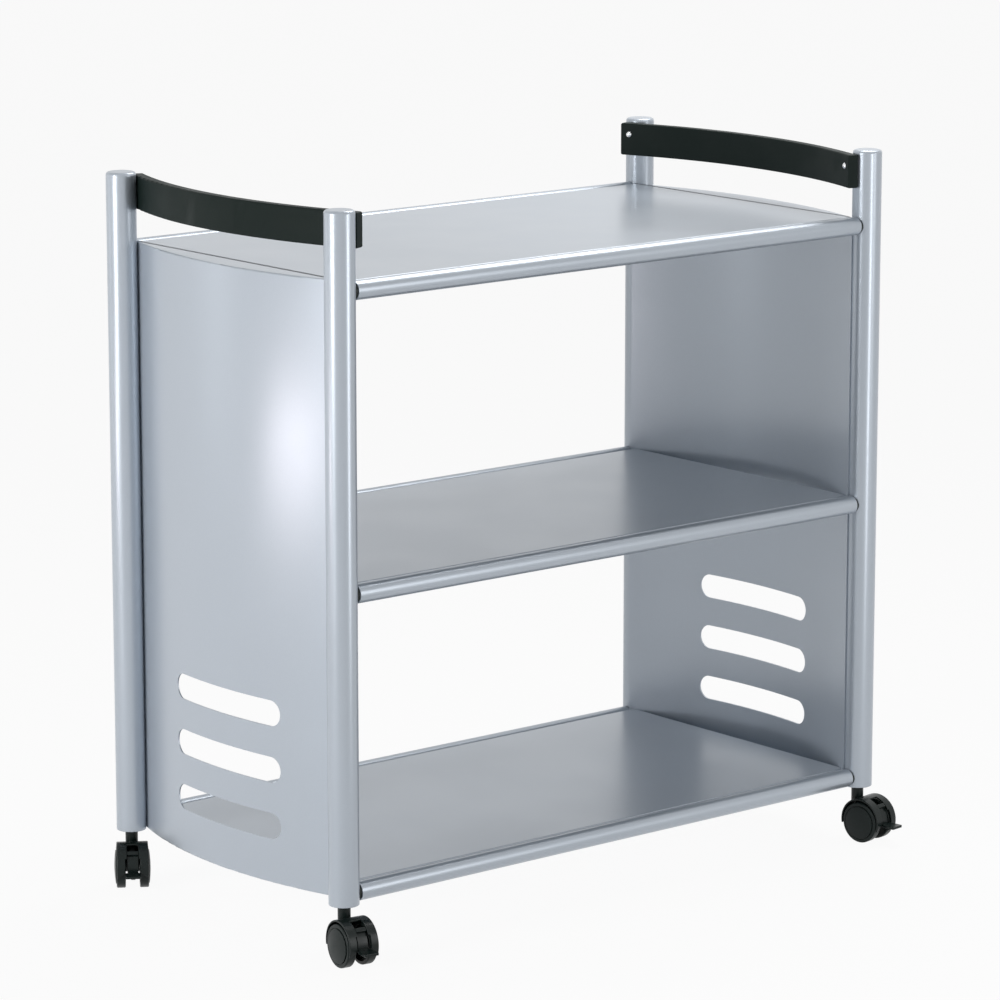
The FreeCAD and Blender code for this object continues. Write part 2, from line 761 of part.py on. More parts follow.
# Handles and their fixings
def make_handle(side):
    """A bowed strip with rounded edges, bedded on the inner sides of two posts and drilled for its screws."""
    label = f"handle_{side}"
    body = new_body(f"{label}_before_drilling")
    strip = sketch_on(body, "XY_Plane", "handle_bottom")
    radii, ends = ("handle_inner_radius", "handle_outer_radius"), ("handle_inner_end", "handle_outer_end")
    bow(strip, "handle_axis", *radii, *ends)
    pad(body, strip, "handle_height")
    at_foot, at_top = level_at("handle_bottom"), level_at("handle_bottom + handle_height")
    fillet(body, "handle_edge_radius", lambda edge: at_foot(edge) or at_top(edge))
    seat_on_posts(body)
    drills = [make_drill(side, row) for row in ROWS]
    pair = document.addObject("Part::Compound", f"{label}_drills")
    pair.Links = drills
    place(body, turn=heading_outwards(side))
    nodes[label] = cut(label, body, pair)


def make_drill(side, row):
    """The clearance hole of one handle screw, as a solid to cut with."""
    drill = new_body(f"drill_{row}_{side}")
    end = sketch_on(drill, "YZ_Plane")
    circle(end, "screw_radius + screw_hole_clearance", "0", "screw_height")
    pad(drill, end, "handle_face + cut_overrun")
    place(drill, *post_place(row, side, heading_to_handle(row, side)))
    return drill


def make_handle_fixings():
    """Domed screws and rivet nuts, modelled once along +X from a post's axis and copied to the four posts."""
    screw = new_body("handle_screw")
    profile = sketch_on(screw, "XZ_Plane")
    dome = "(screw_head_radius ^ 2 + screw_head_rise ^ 2) / (2 * screw_head_rise)"
    outline(profile, [
        ("nut_tip", "0"),
        ("handle_face + screw_head_rise", "0", dome, "left"),
        ("handle_face", "screw_head_radius"),
        ("handle_face", "screw_radius"),
        ("nut_tip", "screw_radius"),
    ])
    revolve(screw, profile, "H_Axis")

    nut = new_body("rivet_nut")
    profile = sketch_on(nut, "XZ_Plane")
    outline(profile, [
        ("nut_tip", "screw_radius"),
        ("nut_mouth", "screw_radius"),
        ("nut_mouth", "nut_radius"),
        ("bulge_seat", "nut_radius"),
        ("bulge_seat", "nut_bulge_radius"),
        ("bulge_seat - nut_bulge_length", "nut_bulge_radius"),
        ("bulge_seat - nut_bulge_length", "nut_radius"),
        ("nut_tip", "nut_radius"),
    ])
    revolve(nut, profile, "H_Axis")

    places = [post_place(row, side, heading_to_handle(row, side), "screw_height") for row, side in CORNERS]
    group("handle_screws", [screw] * len(places), places)
    group("rivet_nuts", [nut] * len(places), places)


# Casters, each with its origin on the floor below its swivel axis and its X axis along its trail
def caster_place(row, side, ahead="0", up="0", turn="0"):
    """Where a point ahead of a caster's swivel axis lies, turned as that caster is."""
    angle = f"trail_{row}_{side}_angle"
    along = f"{SIDES[side]} * half_long + ({ahead}) * cos({angle})"
    across = f"{ROWS[row]} * half_wide + ({ahead}) * sin({angle})"
    return along, across, up, f"{angle} + {turn}"


def hood_point(radius, angle):
    """A point at an angle above the hood's forward horizontal."""
    return f"caster_trail + ({radius}) * cos({angle})", f"hood_axis + ({radius}) * sin({angle})"


def pivot_point(radius, angle):
    """A point at an angle about the pedal's hinge."""
    return f"pivot_x + ({radius}) * cos({angle})", f"pivot_z + ({radius}) * sin({angle})"


def add_hood(body):
    """The curved hood over both wheels, with the window and the mouth that the pedal works in."""
    hood = sketch_on(body, "XZ_Plane")
    outline(hood, [
        (*hood_point("hood_radius", "-hood_front_drop_angle"), "hood_radius", "left"),
        (*hood_point("hood_radius", QUARTER_TURN), "hood_radius", "left"),
        hood_point("hood_radius", HOOD_REAR),
        (*hood_point("hood_inner_radius", HOOD_REAR), "hood_inner_radius", "right"),
        (*hood_point("hood_inner_radius", QUARTER_TURN), "hood_inner_radius", "right"),
        hood_point("hood_inner_radius", "-hood_front_drop_angle"),
    ])
    pad(body, hood, "hood_width", "Symmetric")
    outside = value("hood_radius")
    fillet(body, "hood_edge_radius", lambda edge: is_arc(edge, outside))
    window = sketch_on(body, "YZ_Plane", hood_point("hood_inner_radius", "window_top_angle")[0])
    rectangle(window, "window_width / 2", "window_foot", "hood_axis + hood_radius + cut_overrun")
    pocket(body, window, forwards=True)
    mouth = sketch_on(body, "YZ_Plane", "caster_trail")
    outside_x = "hood_width / 2"
    outline(mouth, [
        ("-mouth_width / 2", "window_foot"),
        ("-mouth_width / 2", "wheel_radius"),
        (f"-{outside_x}", "cheek_foot"),
        (f"-{outside_x} - cut_overrun", "cheek_foot"),
        (f"-{outside_x} - cut_overrun", "0"),
        (f"{outside_x} + cut_overrun", "0"),
        (f"{outside_x} + cut_overrun", "cheek_foot"),
        (outside_x, "cheek_foot"),
        ("mouth_width / 2", "wheel_radius"),
        ("mouth_width / 2", "window_foot"),
    ])
    pocket(body, mouth, forwards=True)


def add_web(body):
    """The web between the wheels, the arm that carries the pedal, the hub and the swivel boss."""
    web = sketch_on(body, "XZ_Plane")
    outline(web, [
        (*hood_point("hood_middle_radius", "web_front_angle"), "hood_middle_radius", "left"),
        hood_point("hood_middle_radius", HOOD_REAR),
        ("caster_trail", "wheel_radius - hub_radius"),
        ("caster_trail + hub_radius", "wheel_radius"),
    ])
    pad(body, web, "web_width", "Symmetric")
    arm = sketch_on(body, "XZ_Plane")
    side_x, side_z = "lug_radius * sin(pivot_angle)", "lug_radius * cos(pivot_angle)"
    outline(arm, [
        (f"caster_trail + {side_x}", f"wheel_radius - {side_z}"),
        (f"pivot_x + {side_x}", f"pivot_z - {side_z}"),
        (f"pivot_x - {side_x}", f"pivot_z + {side_z}"),
        (f"caster_trail - {side_x}", f"wheel_radius + {side_z}"),
    ])
    pad(body, arm, "web_width", "Symmetric")
    lug = sketch_on(body, "XZ_Plane")
    circle(lug, "lug_radius", "pivot_x", "pivot_z")
    pad(body, lug, "web_width", "Symmetric")
    hub = sketch_on(body, "XZ_Plane")
    circle(hub, "hub_radius", "caster_trail", "wheel_radius")
    pad(body, hub, "hub_length", "Symmetric")
    boss = sketch_on(body, "XY_Plane", "boss_foot_height")
    circle(boss, "boss_radius")
    pad(body, boss, "boss_top - boss_foot_height")


def make_housing(row, side):
    """A caster's moulded housing, bored for the stem, the axle and the pedal's pin."""
    body = new_body(f"caster_{row}_{side}_housing")
    add_hood(body)
    add_web(body)
    bore = sketch_on(body, "XY_Plane", "boss_top")
    circle(bore, "stem_radius + running_clearance")
    pocket(body, bore, "boss_top - stem_foot + stem_bore_floor")
    holes = sketch_on(body, "XZ_Plane")
    circle(holes, "axle_radius", "caster_trail", "wheel_radius")
    circle(holes, "brake_pin_radius", "pivot_x", "pivot_z")
    pocket(body, holes, side="Symmetric")
    place(body, *caster_place(row, side))
    nodes[body.Label] = body


def make_cross_pin(label, row, side, radius, length, ahead, up):
    """A plain pin across a caster."""
    body = new_body(label)
    end = sketch_on(body, "XZ_Plane")
    circle(end, radius)
    pad(body, end, length, "Symmetric")
    place(body, *caster_place(row, side, ahead, up))
    nodes[label] = body


def make_wheel(row, side, letter):
    """A wheel hollowed from the inside, with a rounded tread and a domed disc in its outer face."""
    body = new_body(f"caster_{row}_{side}_wheel_{letter}")
    profile = sketch_on(body, "XY_Plane")
    dome = "(disc_radius ^ 2 + disc_dome_rise ^ 2) / (2 * disc_dome_rise)"
    outline(profile, [
        ("0", "wheel_inside + wheel_bore_depth"),
        ("axle_radius + running_clearance", "wheel_inside + wheel_bore_depth"),
        ("axle_radius + running_clearance", "wheel_inside"),
        ("wheel_hub_radius", "wheel_inside"),
        ("wheel_hub_radius", "wheel_floor"),
        ("wheel_rim_radius", "wheel_floor"),
        ("wheel_rim_radius", "wheel_inside"),
        ("wheel_radius - wheel_edge_radius", "wheel_inside", "wheel_edge_radius", "left"),
        ("wheel_radius", "wheel_inside + wheel_edge_radius"),
        ("wheel_radius", "wheel_face - wheel_edge_radius", "wheel_edge_radius", "left"),
        ("wheel_radius - wheel_edge_radius", "wheel_face"),
        ("disc_radius + disc_groove_width", "wheel_face"),
        ("disc_radius + disc_groove_width", "wheel_face - disc_groove_depth"),
        ("disc_radius", "wheel_face - disc_groove_depth"),
        ("disc_radius", "disc_edge", dome, "left"),
        ("0", "disc_top"),
    ])
    revolve(body, profile)
    facing = "0" if letter == "a" else HALF_TURN
    place(body, *caster_place(row, side, "caster_trail", "wheel_radius", facing))
    nodes[body.Label] = body


def make_pedal(row, side):
    """A brake pedal: a bar in the hood's window, a recessed plate below it and a flat tread to press down."""
    body = new_body(f"caster_{row}_{side}_brake_pedal")
    lever = sketch_on(body, "XZ_Plane")
    plate_foot = "caster_trail + sqrt(lever_plate_radius ^ 2 - hood_rise ^ 2)"
    under_foot = "caster_trail + sqrt(lever_inner_radius ^ 2 - (hood_rise + pedal_thickness) ^ 2)"
    outline(lever, [
        (under_foot, "pedal_under"),
        ("pedal_tip", "pedal_under"),
        ("pedal_tip", "pedal_top"),
        (plate_foot, "pedal_top", "lever_plate_radius", "left"),
        hood_point("lever_plate_radius", "lever_plate_top_angle"),
        (*hood_point("lever_bar_radius", "lever_bar_foot_angle"), "lever_bar_radius", "left"),
        hood_point("lever_bar_radius", "lever_bar_top_angle"),
        pivot_point("lug_radius", f"pivot_angle + {QUARTER_TURN}"),
        pivot_point("lug_radius", f"pivot_angle + {HALF_TURN}"),
        (*hood_point("lever_inner_radius", "lever_arm_foot_angle"), "lever_inner_radius", "right"),
    ])
    pad(body, lever, "lever_width", "Symmetric")
    tread = sketch_on(body, "XY_Plane", "pedal_under")
    half = "pedal_width / 2"
    outline(tread, [
        ("pedal_root", f"-{half}"),
        ("pedal_tip", f"-{half}"),
        ("pedal_tip", half),
        ("pedal_root", half),
    ])
    pad(body, tread, "pedal_thickness")
    tip = value("pedal_tip")
    fillet(body, "pedal_corner_radius", lambda edge: is_upright_at(edge, tip))
    rib = sketch_on(body, "XZ_Plane")
    reach = "(pedal_tip - pedal_root)"
    outline(rib, [
        ("pedal_root", "pedal_top - pedal_thickness / 2"),
        ("pedal_root", "pedal_under"),
        (f"pedal_root + pedal_rib_foot_share * {reach}", "pedal_under - pedal_rib_depth"),
        (f"pedal_root + pedal_rib_tip_share * {reach}", "pedal_under"),
        (f"pedal_root + pedal_rib_tip_share * {reach}", "pedal_top - pedal_thickness / 2"),
    ])
    pad(body, rib, "pedal_rib_width", "Symmetric")
    eye = sketch_on(body, "XZ_Plane")
    circle(eye, "lever_eye_radius", "pivot_x", "pivot_z")
    pocket(body, eye, "web_width + 2 * side_clearance", "Symmetric")
    hole = sketch_on(body, "XZ_Plane")
    circle(hole, "brake_pin_radius + running_clearance", "pivot_x", "pivot_z")
    pocket(body, hole, side="Symmetric")
    place(body, *caster_place(row, side))
    nodes[body.Label] = body


def is_upright_at(edge, along):
    """Whether an edge stands upright at a place along X."""
    box = edge.BoundBox
    return box.XLength < NEAR and box.YLength < NEAR and abs(box.XMin - along) < NEAR


def make_caster(row, side):
    """One caster's housing, axle, pin, two wheels and pedal."""
    name = f"caster_{row}_{side}"
    make_housing(row, side)
    make_cross_pin(f"{name}_axle", row, side, "axle_radius", "2 * axle_half", "caster_trail", "wheel_radius")
    make_cross_pin(f"{name}_brake_pin", row, side, "brake_pin_radius", "lever_width", "pivot_x", "pivot_z")
    for letter in "ab":
        make_wheel(row, side, letter)
    make_pedal(row, side)


def check_and_write():
    """Stops at anything that failed to build, then writes each node's file."""
    document.recompute()
    for item in document.Objects:
        if {"Invalid", "Error"} & set(item.State):
            raise ValueError(f"{item.Label} failed: {item.State}")
    for label, item in nodes.items():
        if item.Shape.isNull() or not item.Shape.isValid():
            raise ValueError(f"{label} has no valid shape")
    os.makedirs("parts", exist_ok=True)
    for label, item in nodes.items():
        item.Shape.exportStep(f"parts/{label}.step")


def main():
    """Builds the whole cart."""
    fill_sheet()
    for row, side in CORNERS:
        make_post(row, side)
        make_cap(row, side)
        make_socket(row, side)
        make_stem(row, side)
    for shelf in SHELVES:
        make_shelf(shelf)
        for row in ROWS:
            make_tube(shelf, row)
    make_tube_joints()
    for side in SIDES:
        make_panel(side)
        make_handle(side)
    make_handle_fixings()
    for row, side in CORNERS:
        make_caster(row, side)
    check_and_write()


main()
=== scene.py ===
"""Looks of a three-shelf office cart: silver lacquer, black mouldings and a plain pale studio."""

from __future__ import annotations

import json
import logging
import math
from collections import Counter
from dataclasses import dataclass, field
from enum import Enum

import bmesh
import bpy
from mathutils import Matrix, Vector

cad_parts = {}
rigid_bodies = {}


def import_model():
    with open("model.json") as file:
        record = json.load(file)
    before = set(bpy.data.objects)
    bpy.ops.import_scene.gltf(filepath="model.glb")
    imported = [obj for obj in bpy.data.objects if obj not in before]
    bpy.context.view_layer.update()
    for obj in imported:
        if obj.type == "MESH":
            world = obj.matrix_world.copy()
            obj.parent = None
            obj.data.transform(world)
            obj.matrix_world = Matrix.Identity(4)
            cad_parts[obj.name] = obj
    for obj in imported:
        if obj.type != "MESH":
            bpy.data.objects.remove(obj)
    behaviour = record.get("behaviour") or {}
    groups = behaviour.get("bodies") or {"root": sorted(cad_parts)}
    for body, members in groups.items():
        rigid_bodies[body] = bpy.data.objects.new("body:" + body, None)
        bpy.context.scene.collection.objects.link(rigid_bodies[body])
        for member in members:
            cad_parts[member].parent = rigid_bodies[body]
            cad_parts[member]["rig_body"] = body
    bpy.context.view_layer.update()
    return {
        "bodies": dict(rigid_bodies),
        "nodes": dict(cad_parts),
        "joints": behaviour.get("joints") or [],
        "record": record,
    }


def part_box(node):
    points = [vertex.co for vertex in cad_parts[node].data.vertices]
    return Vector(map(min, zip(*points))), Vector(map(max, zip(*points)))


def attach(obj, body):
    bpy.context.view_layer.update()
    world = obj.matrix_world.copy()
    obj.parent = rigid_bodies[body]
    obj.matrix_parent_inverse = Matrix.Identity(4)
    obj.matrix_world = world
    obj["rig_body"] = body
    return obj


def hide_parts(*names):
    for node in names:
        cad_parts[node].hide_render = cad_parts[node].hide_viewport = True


MM = 0.001
MERGE_DISTANCE = 1e-6
TURN_ATTRIBUTE = "turn"
LOG = logging.getLogger("office_cart")

Colour = tuple[float, float, float]
Place = tuple[float, float, float]

WHITE: Colour = (1.0, 1.0, 1.0)


class Slot(Enum):
    """The record's material slots."""

    SILVER = "silver_paint"
    HANDLE = "black_handle"
    MOULDING = "black_plastic"
    CASTER = "caster_black"
    WHEEL = "caster_wheel"
    PLATED = "plated_steel"
    SCREW = "bright_screw"


class Effect(Enum):
    """Surface effects that several finishes share, each a shader node group."""

    GRAIN = "fine_grain"
    MOTTLE = "slow_mottle"
    DUST = "floor_dust"


@dataclass
class Board:
    """A node tree that is filled and wired one node at a time."""

    tree: bpy.types.NodeTree

    def add(self, kind: str, **settings: object) -> bpy.types.Node:
        """Adds a node.

        Args:
            kind: The node's type name.
            settings: Attributes to set on it.

        Returns:
            The new node.
        """
        node = self.tree.nodes.new(kind)
        for name, setting in settings.items():
            setattr(node, name, setting)
        return node

    def wire(self, source: bpy.types.NodeSocket, target: bpy.types.NodeSocket) -> None:
        """Links one socket to another."""
        self.tree.links.new(source, target)

    def maths(self, operation: str, first: object, second: object) -> bpy.types.NodeSocket:
        """Works out two terms.

        Args:
            operation: The Math node's operation.
            first: A socket or a number.
            second: A socket or a number.

        Returns:
            The result's socket.
        """
        node = self.add("ShaderNodeMath", operation=operation)
        for place, term in enumerate((first, second)):
            if isinstance(term, bpy.types.NodeSocket):
                self.wire(term, node.inputs[place])
            else:
                node.inputs[place].default_value = term
        return node.outputs[0]

    def span(
        self, source: bpy.types.NodeSocket, low: float, high: float, start: float = 0.0, end: float = 1.0
    ) -> bpy.types.NodeSocket:
        """Maps a value smoothly from one span to another.

        Args:
            source: The value.
            low: Where the span starts.
            high: Where the span ends.
            start: What the low end becomes.
            end: What the high end becomes.

        Returns:
            The mapped value's socket.
        """
        node = self.add("ShaderNodeMapRange", interpolation_type="SMOOTHSTEP")
        self.wire(source, node.inputs["Value"])
        for name, number in (("From Min", low), ("From Max", high), ("To Min", start), ("To Max", end)):
            node.inputs[name].default_value = number
        return node.outputs["Result"]

    def blend(
        self, share: bpy.types.NodeSocket, first: object, second: object
    ) -> bpy.types.NodeSocket:
        """Mixes two colours.

        Args:
            share: How much of the second shows.
            first: A socket or a colour.
            second: A socket or a colour.

        Returns:
            The mixed colour's socket.
        """
        node = self.add("ShaderNodeMix", data_type="RGBA")
        self.wire(share, node.inputs["Factor"])
        for name, term in (("A", first), ("B", second)):
            socket = next(entry for entry in node.inputs if entry.name == name and entry.type == "RGBA")
            if isinstance(term, bpy.types.NodeSocket):
                self.wire(term, socket)
            else:
                socket.default_value = (*term, 1.0)
        return next(entry for entry in node.outputs if entry.type == "RGBA")

    def mix(
        self, share: bpy.types.NodeSocket, first: bpy.types.NodeSocket, second: bpy.types.NodeSocket
    ) -> bpy.types.NodeSocket:
        """Mixes two shaders.

        Args:
            share: How much of the second shows.
            first: A shader's socket.
            second: A shader's socket.

        Returns:
            The mixed shader's socket.
        """
        node = self.add("ShaderNodeMixShader")
        for place, source in enumerate((share, first, second)):
            self.wire(source, node.inputs[place])
        return node.outputs[0]


@dataclass
class Effects:
    """The shader node groups that the finishes place with their own values.

    A detail is how many finer layers a noise has, and a span is the stretch of it that becomes 0 to 1.
    """

    grain_detail: float = 2.0
    grain_span: tuple[float, float] = (0.35, 0.65)
    mottle_detail: float = 4.0
    mottle_span: tuple[float, float] = (0.3, 0.7)
    dust_detail: float = 5.0
    dust_span: tuple[float, float] = (0.35, 0.7)
    groups: dict[Effect, bpy.types.NodeTree] = field(default_factory=dict)

    def start(
        self, effect: Effect, inputs: tuple[str, ...], outputs: tuple[str, ...]
    ) -> tuple[Board, bpy.types.Node, bpy.types.Node]:
        """Makes a group with a Vector input, number inputs and number outputs.

        Args:
            effect: Which group it is.
            inputs: The number inputs' names.
            outputs: The outputs' names.

        Returns:
            A board on the new group, its input node and its output node.
        """
        group = bpy.data.node_groups.new(effect.value, "ShaderNodeTree")
        group.interface.new_socket("Vector", in_out="INPUT", socket_type="NodeSocketVector")
        for name in inputs:
            group.interface.new_socket(name, in_out="INPUT", socket_type="NodeSocketFloat")
        for name in outputs:
            group.interface.new_socket(name, in_out="OUTPUT", socket_type="NodeSocketFloat")
        self.groups[effect] = group
        board = Board(group)
        return board, board.add("NodeGroupInput"), board.add("NodeGroupOutput")

    def noise(self, board: Board, given: bpy.types.Node, detail: float) -> bpy.types.NodeSocket:
        """Adds noise on the group's own Vector and Scale.

        Args:
            board: The group's board.
            given: Its input node.
            detail: How many finer layers the noise has.

        Returns:
            The noise value's socket.
        """
        node = board.add("ShaderNodeTexNoise")
        for name in ("Vector", "Scale"):
            board.wire(given.outputs[name], node.inputs[name])
        node.inputs["Detail"].default_value = detail
        return node.outputs["Fac"]

    def make_grain(self) -> None:
        """Builds the fine, even grain of sprayed lacquer or of a spark-eroded mould."""
        board, given, result = self.start(Effect.GRAIN, ("Scale",), ("Tone", "Height"))
        value = self.noise(board, given, self.grain_detail)
        board.wire(board.span(value, *self.grain_span), result.inputs["Tone"])
        board.wire(value, result.inputs["Height"])

    def make_mottle(self) -> None:
        """Builds broad, slow variation: uneven gloss, and the marks of hands."""
        board, given, result = self.start(Effect.MOTTLE, ("Scale",), ("Tone",))
        value = self.noise(board, given, self.mottle_detail)
        board.wire(board.span(value, *self.mottle_span), result.inputs["Tone"])

    def make_dust(self) -> None:
        """Builds dust that thins out with height above the floor."""
        board, given, result = self.start(Effect.DUST, ("Scale", "Top", "Amount"), ("Mask",))
        axes = board.add("ShaderNodeSeparateXYZ")
        board.wire(given.outputs["Vector"], axes.inputs[0])
        height = board.maths("DIVIDE", axes.outputs["Z"], given.outputs["Top"])
        low = board.span(height, 0.0, 1.0, 1.0, 0.0)
        speckle = board.span(self.noise(board, given, self.dust_detail), *self.dust_span)
        mask = board.maths("MULTIPLY", low, speckle)
        board.wire(board.maths("MULTIPLY", mask, given.outputs["Amount"]), result.inputs["Mask"])

    def make_all(self) -> None:
        """Builds every group once."""
        self.make_grain()
        self.make_mottle()
        self.make_dust()

    def place(
        self, board: Board, effect: Effect, vector: bpy.types.NodeSocket, **numbers: float
    ) -> bpy.types.Node:
        """Places a group in a material.

        Args:
            board: The material's board.
            effect: Which group.
            vector: The coordinates that it works on.
            numbers: Its inputs by name, spelt in lower case.

        Returns:
            The group's node.
        """
        node = board.add("ShaderNodeGroup", node_tree=self.groups[effect])
        board.wire(vector, node.inputs["Vector"])
        for name, number in numbers.items():
            node.inputs[name.capitalize()].default_value = number
        return node


@dataclass(frozen=True)
class Finish:
    """A material: its colours, gloss, grain and dust.

    Scales are in cycles per metre, and the bump's height and the dust's top in metres.
    """

    name: str
    colour: Colour
    second_colour: Colour
    metallic: float
    roughness: tuple[float, float]
    grain_scale: float
    grain_share: float
    bump_height: float
    mottle_scale: float
    bump_strength: float = 0.3
    specular: float = 0.5
    dust_top: float = 0.0
    dust_amount: float = 0.0
    dust_scale: float = 90.0
    dust_roughness: float = 0.3
    dust_colour: Colour = (0.32, 0.31, 0.29)

    def make(self, effects: Effects) -> bpy.types.Material:
        """Builds the material.

        Args:
            effects: The shared groups.

        Returns:
            The finished material.
        """
        material = bpy.data.materials.new(self.name)
        material.use_nodes = True
        board = Board(material.node_tree)
        shader = next(node for node in board.tree.nodes if node.type == "BSDF_PRINCIPLED")
        shader.inputs["Metallic"].default_value = self.metallic
        shader.inputs["Specular IOR Level"].default_value = self.specular
        vector = board.add("ShaderNodeTexCoord").outputs["Object"]
        grain = effects.place(board, Effect.GRAIN, vector, scale=self.grain_scale)
        mottle = effects.place(board, Effect.MOTTLE, vector, scale=self.mottle_scale)
        speck = board.maths("MULTIPLY", grain.outputs["Tone"], self.grain_share)
        colour = board.blend(speck, self.colour, self.second_colour)
        gloss = board.span(mottle.outputs["Tone"], 0.0, 1.0, *self.roughness)
        if self.dust_amount:
            dust = effects.place(
                board, Effect.DUST, vector,
                scale=self.dust_scale, top=self.dust_top, amount=self.dust_amount,
            ).outputs["Mask"]
            colour = board.blend(dust, colour, self.dust_colour)
            gloss = board.maths("ADD", gloss, board.maths("MULTIPLY", dust, self.dust_roughness))
        board.wire(colour, shader.inputs["Base Color"])
        board.wire(gloss, shader.inputs["Roughness"])
        bump = board.add("ShaderNodeBump")
        bump.inputs["Strength"].default_value = self.bump_strength
        bump.inputs["Distance"].default_value = self.bump_height
        board.wire(grain.outputs["Height"], bump.inputs["Height"])
        board.wire(bump.outputs["Normal"], shader.inputs["Normal"])
        return material


FINISHES: dict[Slot, Finish] = {
    Slot.SILVER: Finish(
        "silver_lacquer", colour=(0.49, 0.54, 0.60), second_colour=(0.525, 0.575, 0.635),
        metallic=0.4, roughness=(0.28, 0.31),
        grain_scale=900.0, grain_share=0.4, bump_height=0.001 * MM, mottle_scale=9.0,
    ),
    Slot.HANDLE: Finish(
        "handle_moulding", colour=(0.007, 0.013, 0.0115), second_colour=(0.012, 0.020, 0.018),
        metallic=0.0, roughness=(0.44, 0.54), specular=0.1,
        grain_scale=1400.0, grain_share=0.6, bump_height=0.03 * MM, mottle_scale=16.0,
    ),
    Slot.MOULDING: Finish(
        "plug_moulding", colour=(0.009, 0.013, 0.012), second_colour=(0.014, 0.018, 0.017),
        metallic=0.0, roughness=(0.4, 0.5), specular=0.25,
        grain_scale=1600.0, grain_share=0.6, bump_height=0.03 * MM, mottle_scale=30.0,
    ),
    Slot.CASTER: Finish(
        "caster_moulding", colour=(0.004, 0.0085, 0.0078), second_colour=(0.007, 0.014, 0.013),
        metallic=0.0, roughness=(0.26, 0.36), specular=0.25,
        grain_scale=1500.0, grain_share=0.6, bump_height=0.03 * MM, mottle_scale=40.0,
        dust_top=50.0 * MM, dust_amount=0.01,
    ),
    Slot.WHEEL: Finish(
        "wheel_moulding", colour=(0.006, 0.011, 0.0102), second_colour=(0.010, 0.017, 0.016),
        metallic=0.0, roughness=(0.30, 0.40), specular=0.2,
        grain_scale=1500.0, grain_share=0.6, bump_height=0.03 * MM, mottle_scale=50.0,
        dust_top=15.0 * MM, dust_amount=0.02,
    ),
    Slot.PLATED: Finish(
        "plated_steel", colour=(0.55, 0.56, 0.56), second_colour=(0.62, 0.63, 0.63),
        metallic=1.0, roughness=(0.2, 0.32),
        grain_scale=1200.0, grain_share=0.6, bump_height=0.004 * MM, mottle_scale=60.0,
    ),
    Slot.SCREW: Finish(
        "bright_screw", colour=(0.72, 0.73, 0.75), second_colour=(0.78, 0.79, 0.80),
        metallic=1.0, roughness=(0.12, 0.2),
        grain_scale=1500.0, grain_share=0.4, bump_height=0.002 * MM, mottle_scale=80.0,
    ),
}


@dataclass(frozen=True)
class Corner:
    """A corner of a half section, in millimetres: how far out and along it lies, and its rounding."""

    out: float
    along: float
    rounding: float = 0.0


@dataclass
class HalfSection:
    """The half section of a turned piece, from the end that its axis points to round to the other end.

    A rounding has steps, and one more point a margin past each end, in millimetres, so that the straight
    stretch beside it is shaded evenly.
    """

    corners: list[Corner]
    steps: int = 4
    margin: float = 0.12

    def points(self) -> list[Place]:
        """Rounds the corners.

        Returns:
            The section's points in metres, in the XZ plane.
        """
        spots = [Vector((corner.out, corner.along)) for corner in self.corners]
        line: list[Vector] = []
        for index, (here, corner) in enumerate(zip(spots, self.corners)):
            if not corner.rounding:
                line.append(here)
                continue
            before = (spots[index - 1] - here).normalized()
            after = (spots[index + 1] - here).normalized()
            half = before.angle(after) / 2
            reach = corner.rounding / math.tan(half)
            centre = here + (before + after).normalized() * corner.rounding / math.sin(half)
            start, end = here + before * reach, here + after * reach
            line.append(start + before * self.margin)
            for step in range(self.steps + 1):
                arm = start.lerp(end, step / self.steps) - centre
                line.append(centre + arm.normalized() * corner.rounding)
            line.append(end + after * self.margin)
        return [(spot.x * MM, 0.0, spot.y * MM) for spot in line]


def dome(radius: float, base: float, rise: float, steps: int = 9) -> list[Corner]:
    """Lists the points of a shallow dome from its top down to just inside its edge.

    Args:
        radius: The edge's distance from the axis.
        base: Where the edge lies along the axis.
        rise: How far the top stands over the edge.
        steps: How many points.

    Returns:
        The points as plain corners.
    """
    ball = (radius**2 + rise**2) / (2 * rise)
    outs = [radius * step / (steps + 1) for step in range(steps + 1)]
    return [Corner(out, base + rise - ball + math.sqrt(ball**2 - out**2)) for out in outs]


def new_piece(
    name: str, points: list[Place], edges: list[tuple[int, int]], faces: list[tuple[int, ...]]
) -> bpy.types.Object:
    """Adds a mesh object to the scene.

    Args:
        name: Its name, which its mesh gets too.
        points: Its vertices in metres.
        edges: Its loose edges, as pairs of vertices.
        faces: Its faces, as rows of vertices.

    Returns:
        The object.
    """
    mesh = bpy.data.meshes.new(name)
    mesh.from_pydata(points, edges, faces)
    piece = bpy.data.objects.new(name, mesh)
    bpy.context.scene.collection.objects.link(piece)
    return piece


@dataclass(frozen=True)
class Spot:
    """Where a copy goes, in metres, and how it is turned, as angles about X, Y and Z."""

    place: Place
    turn: tuple[float, float, float]


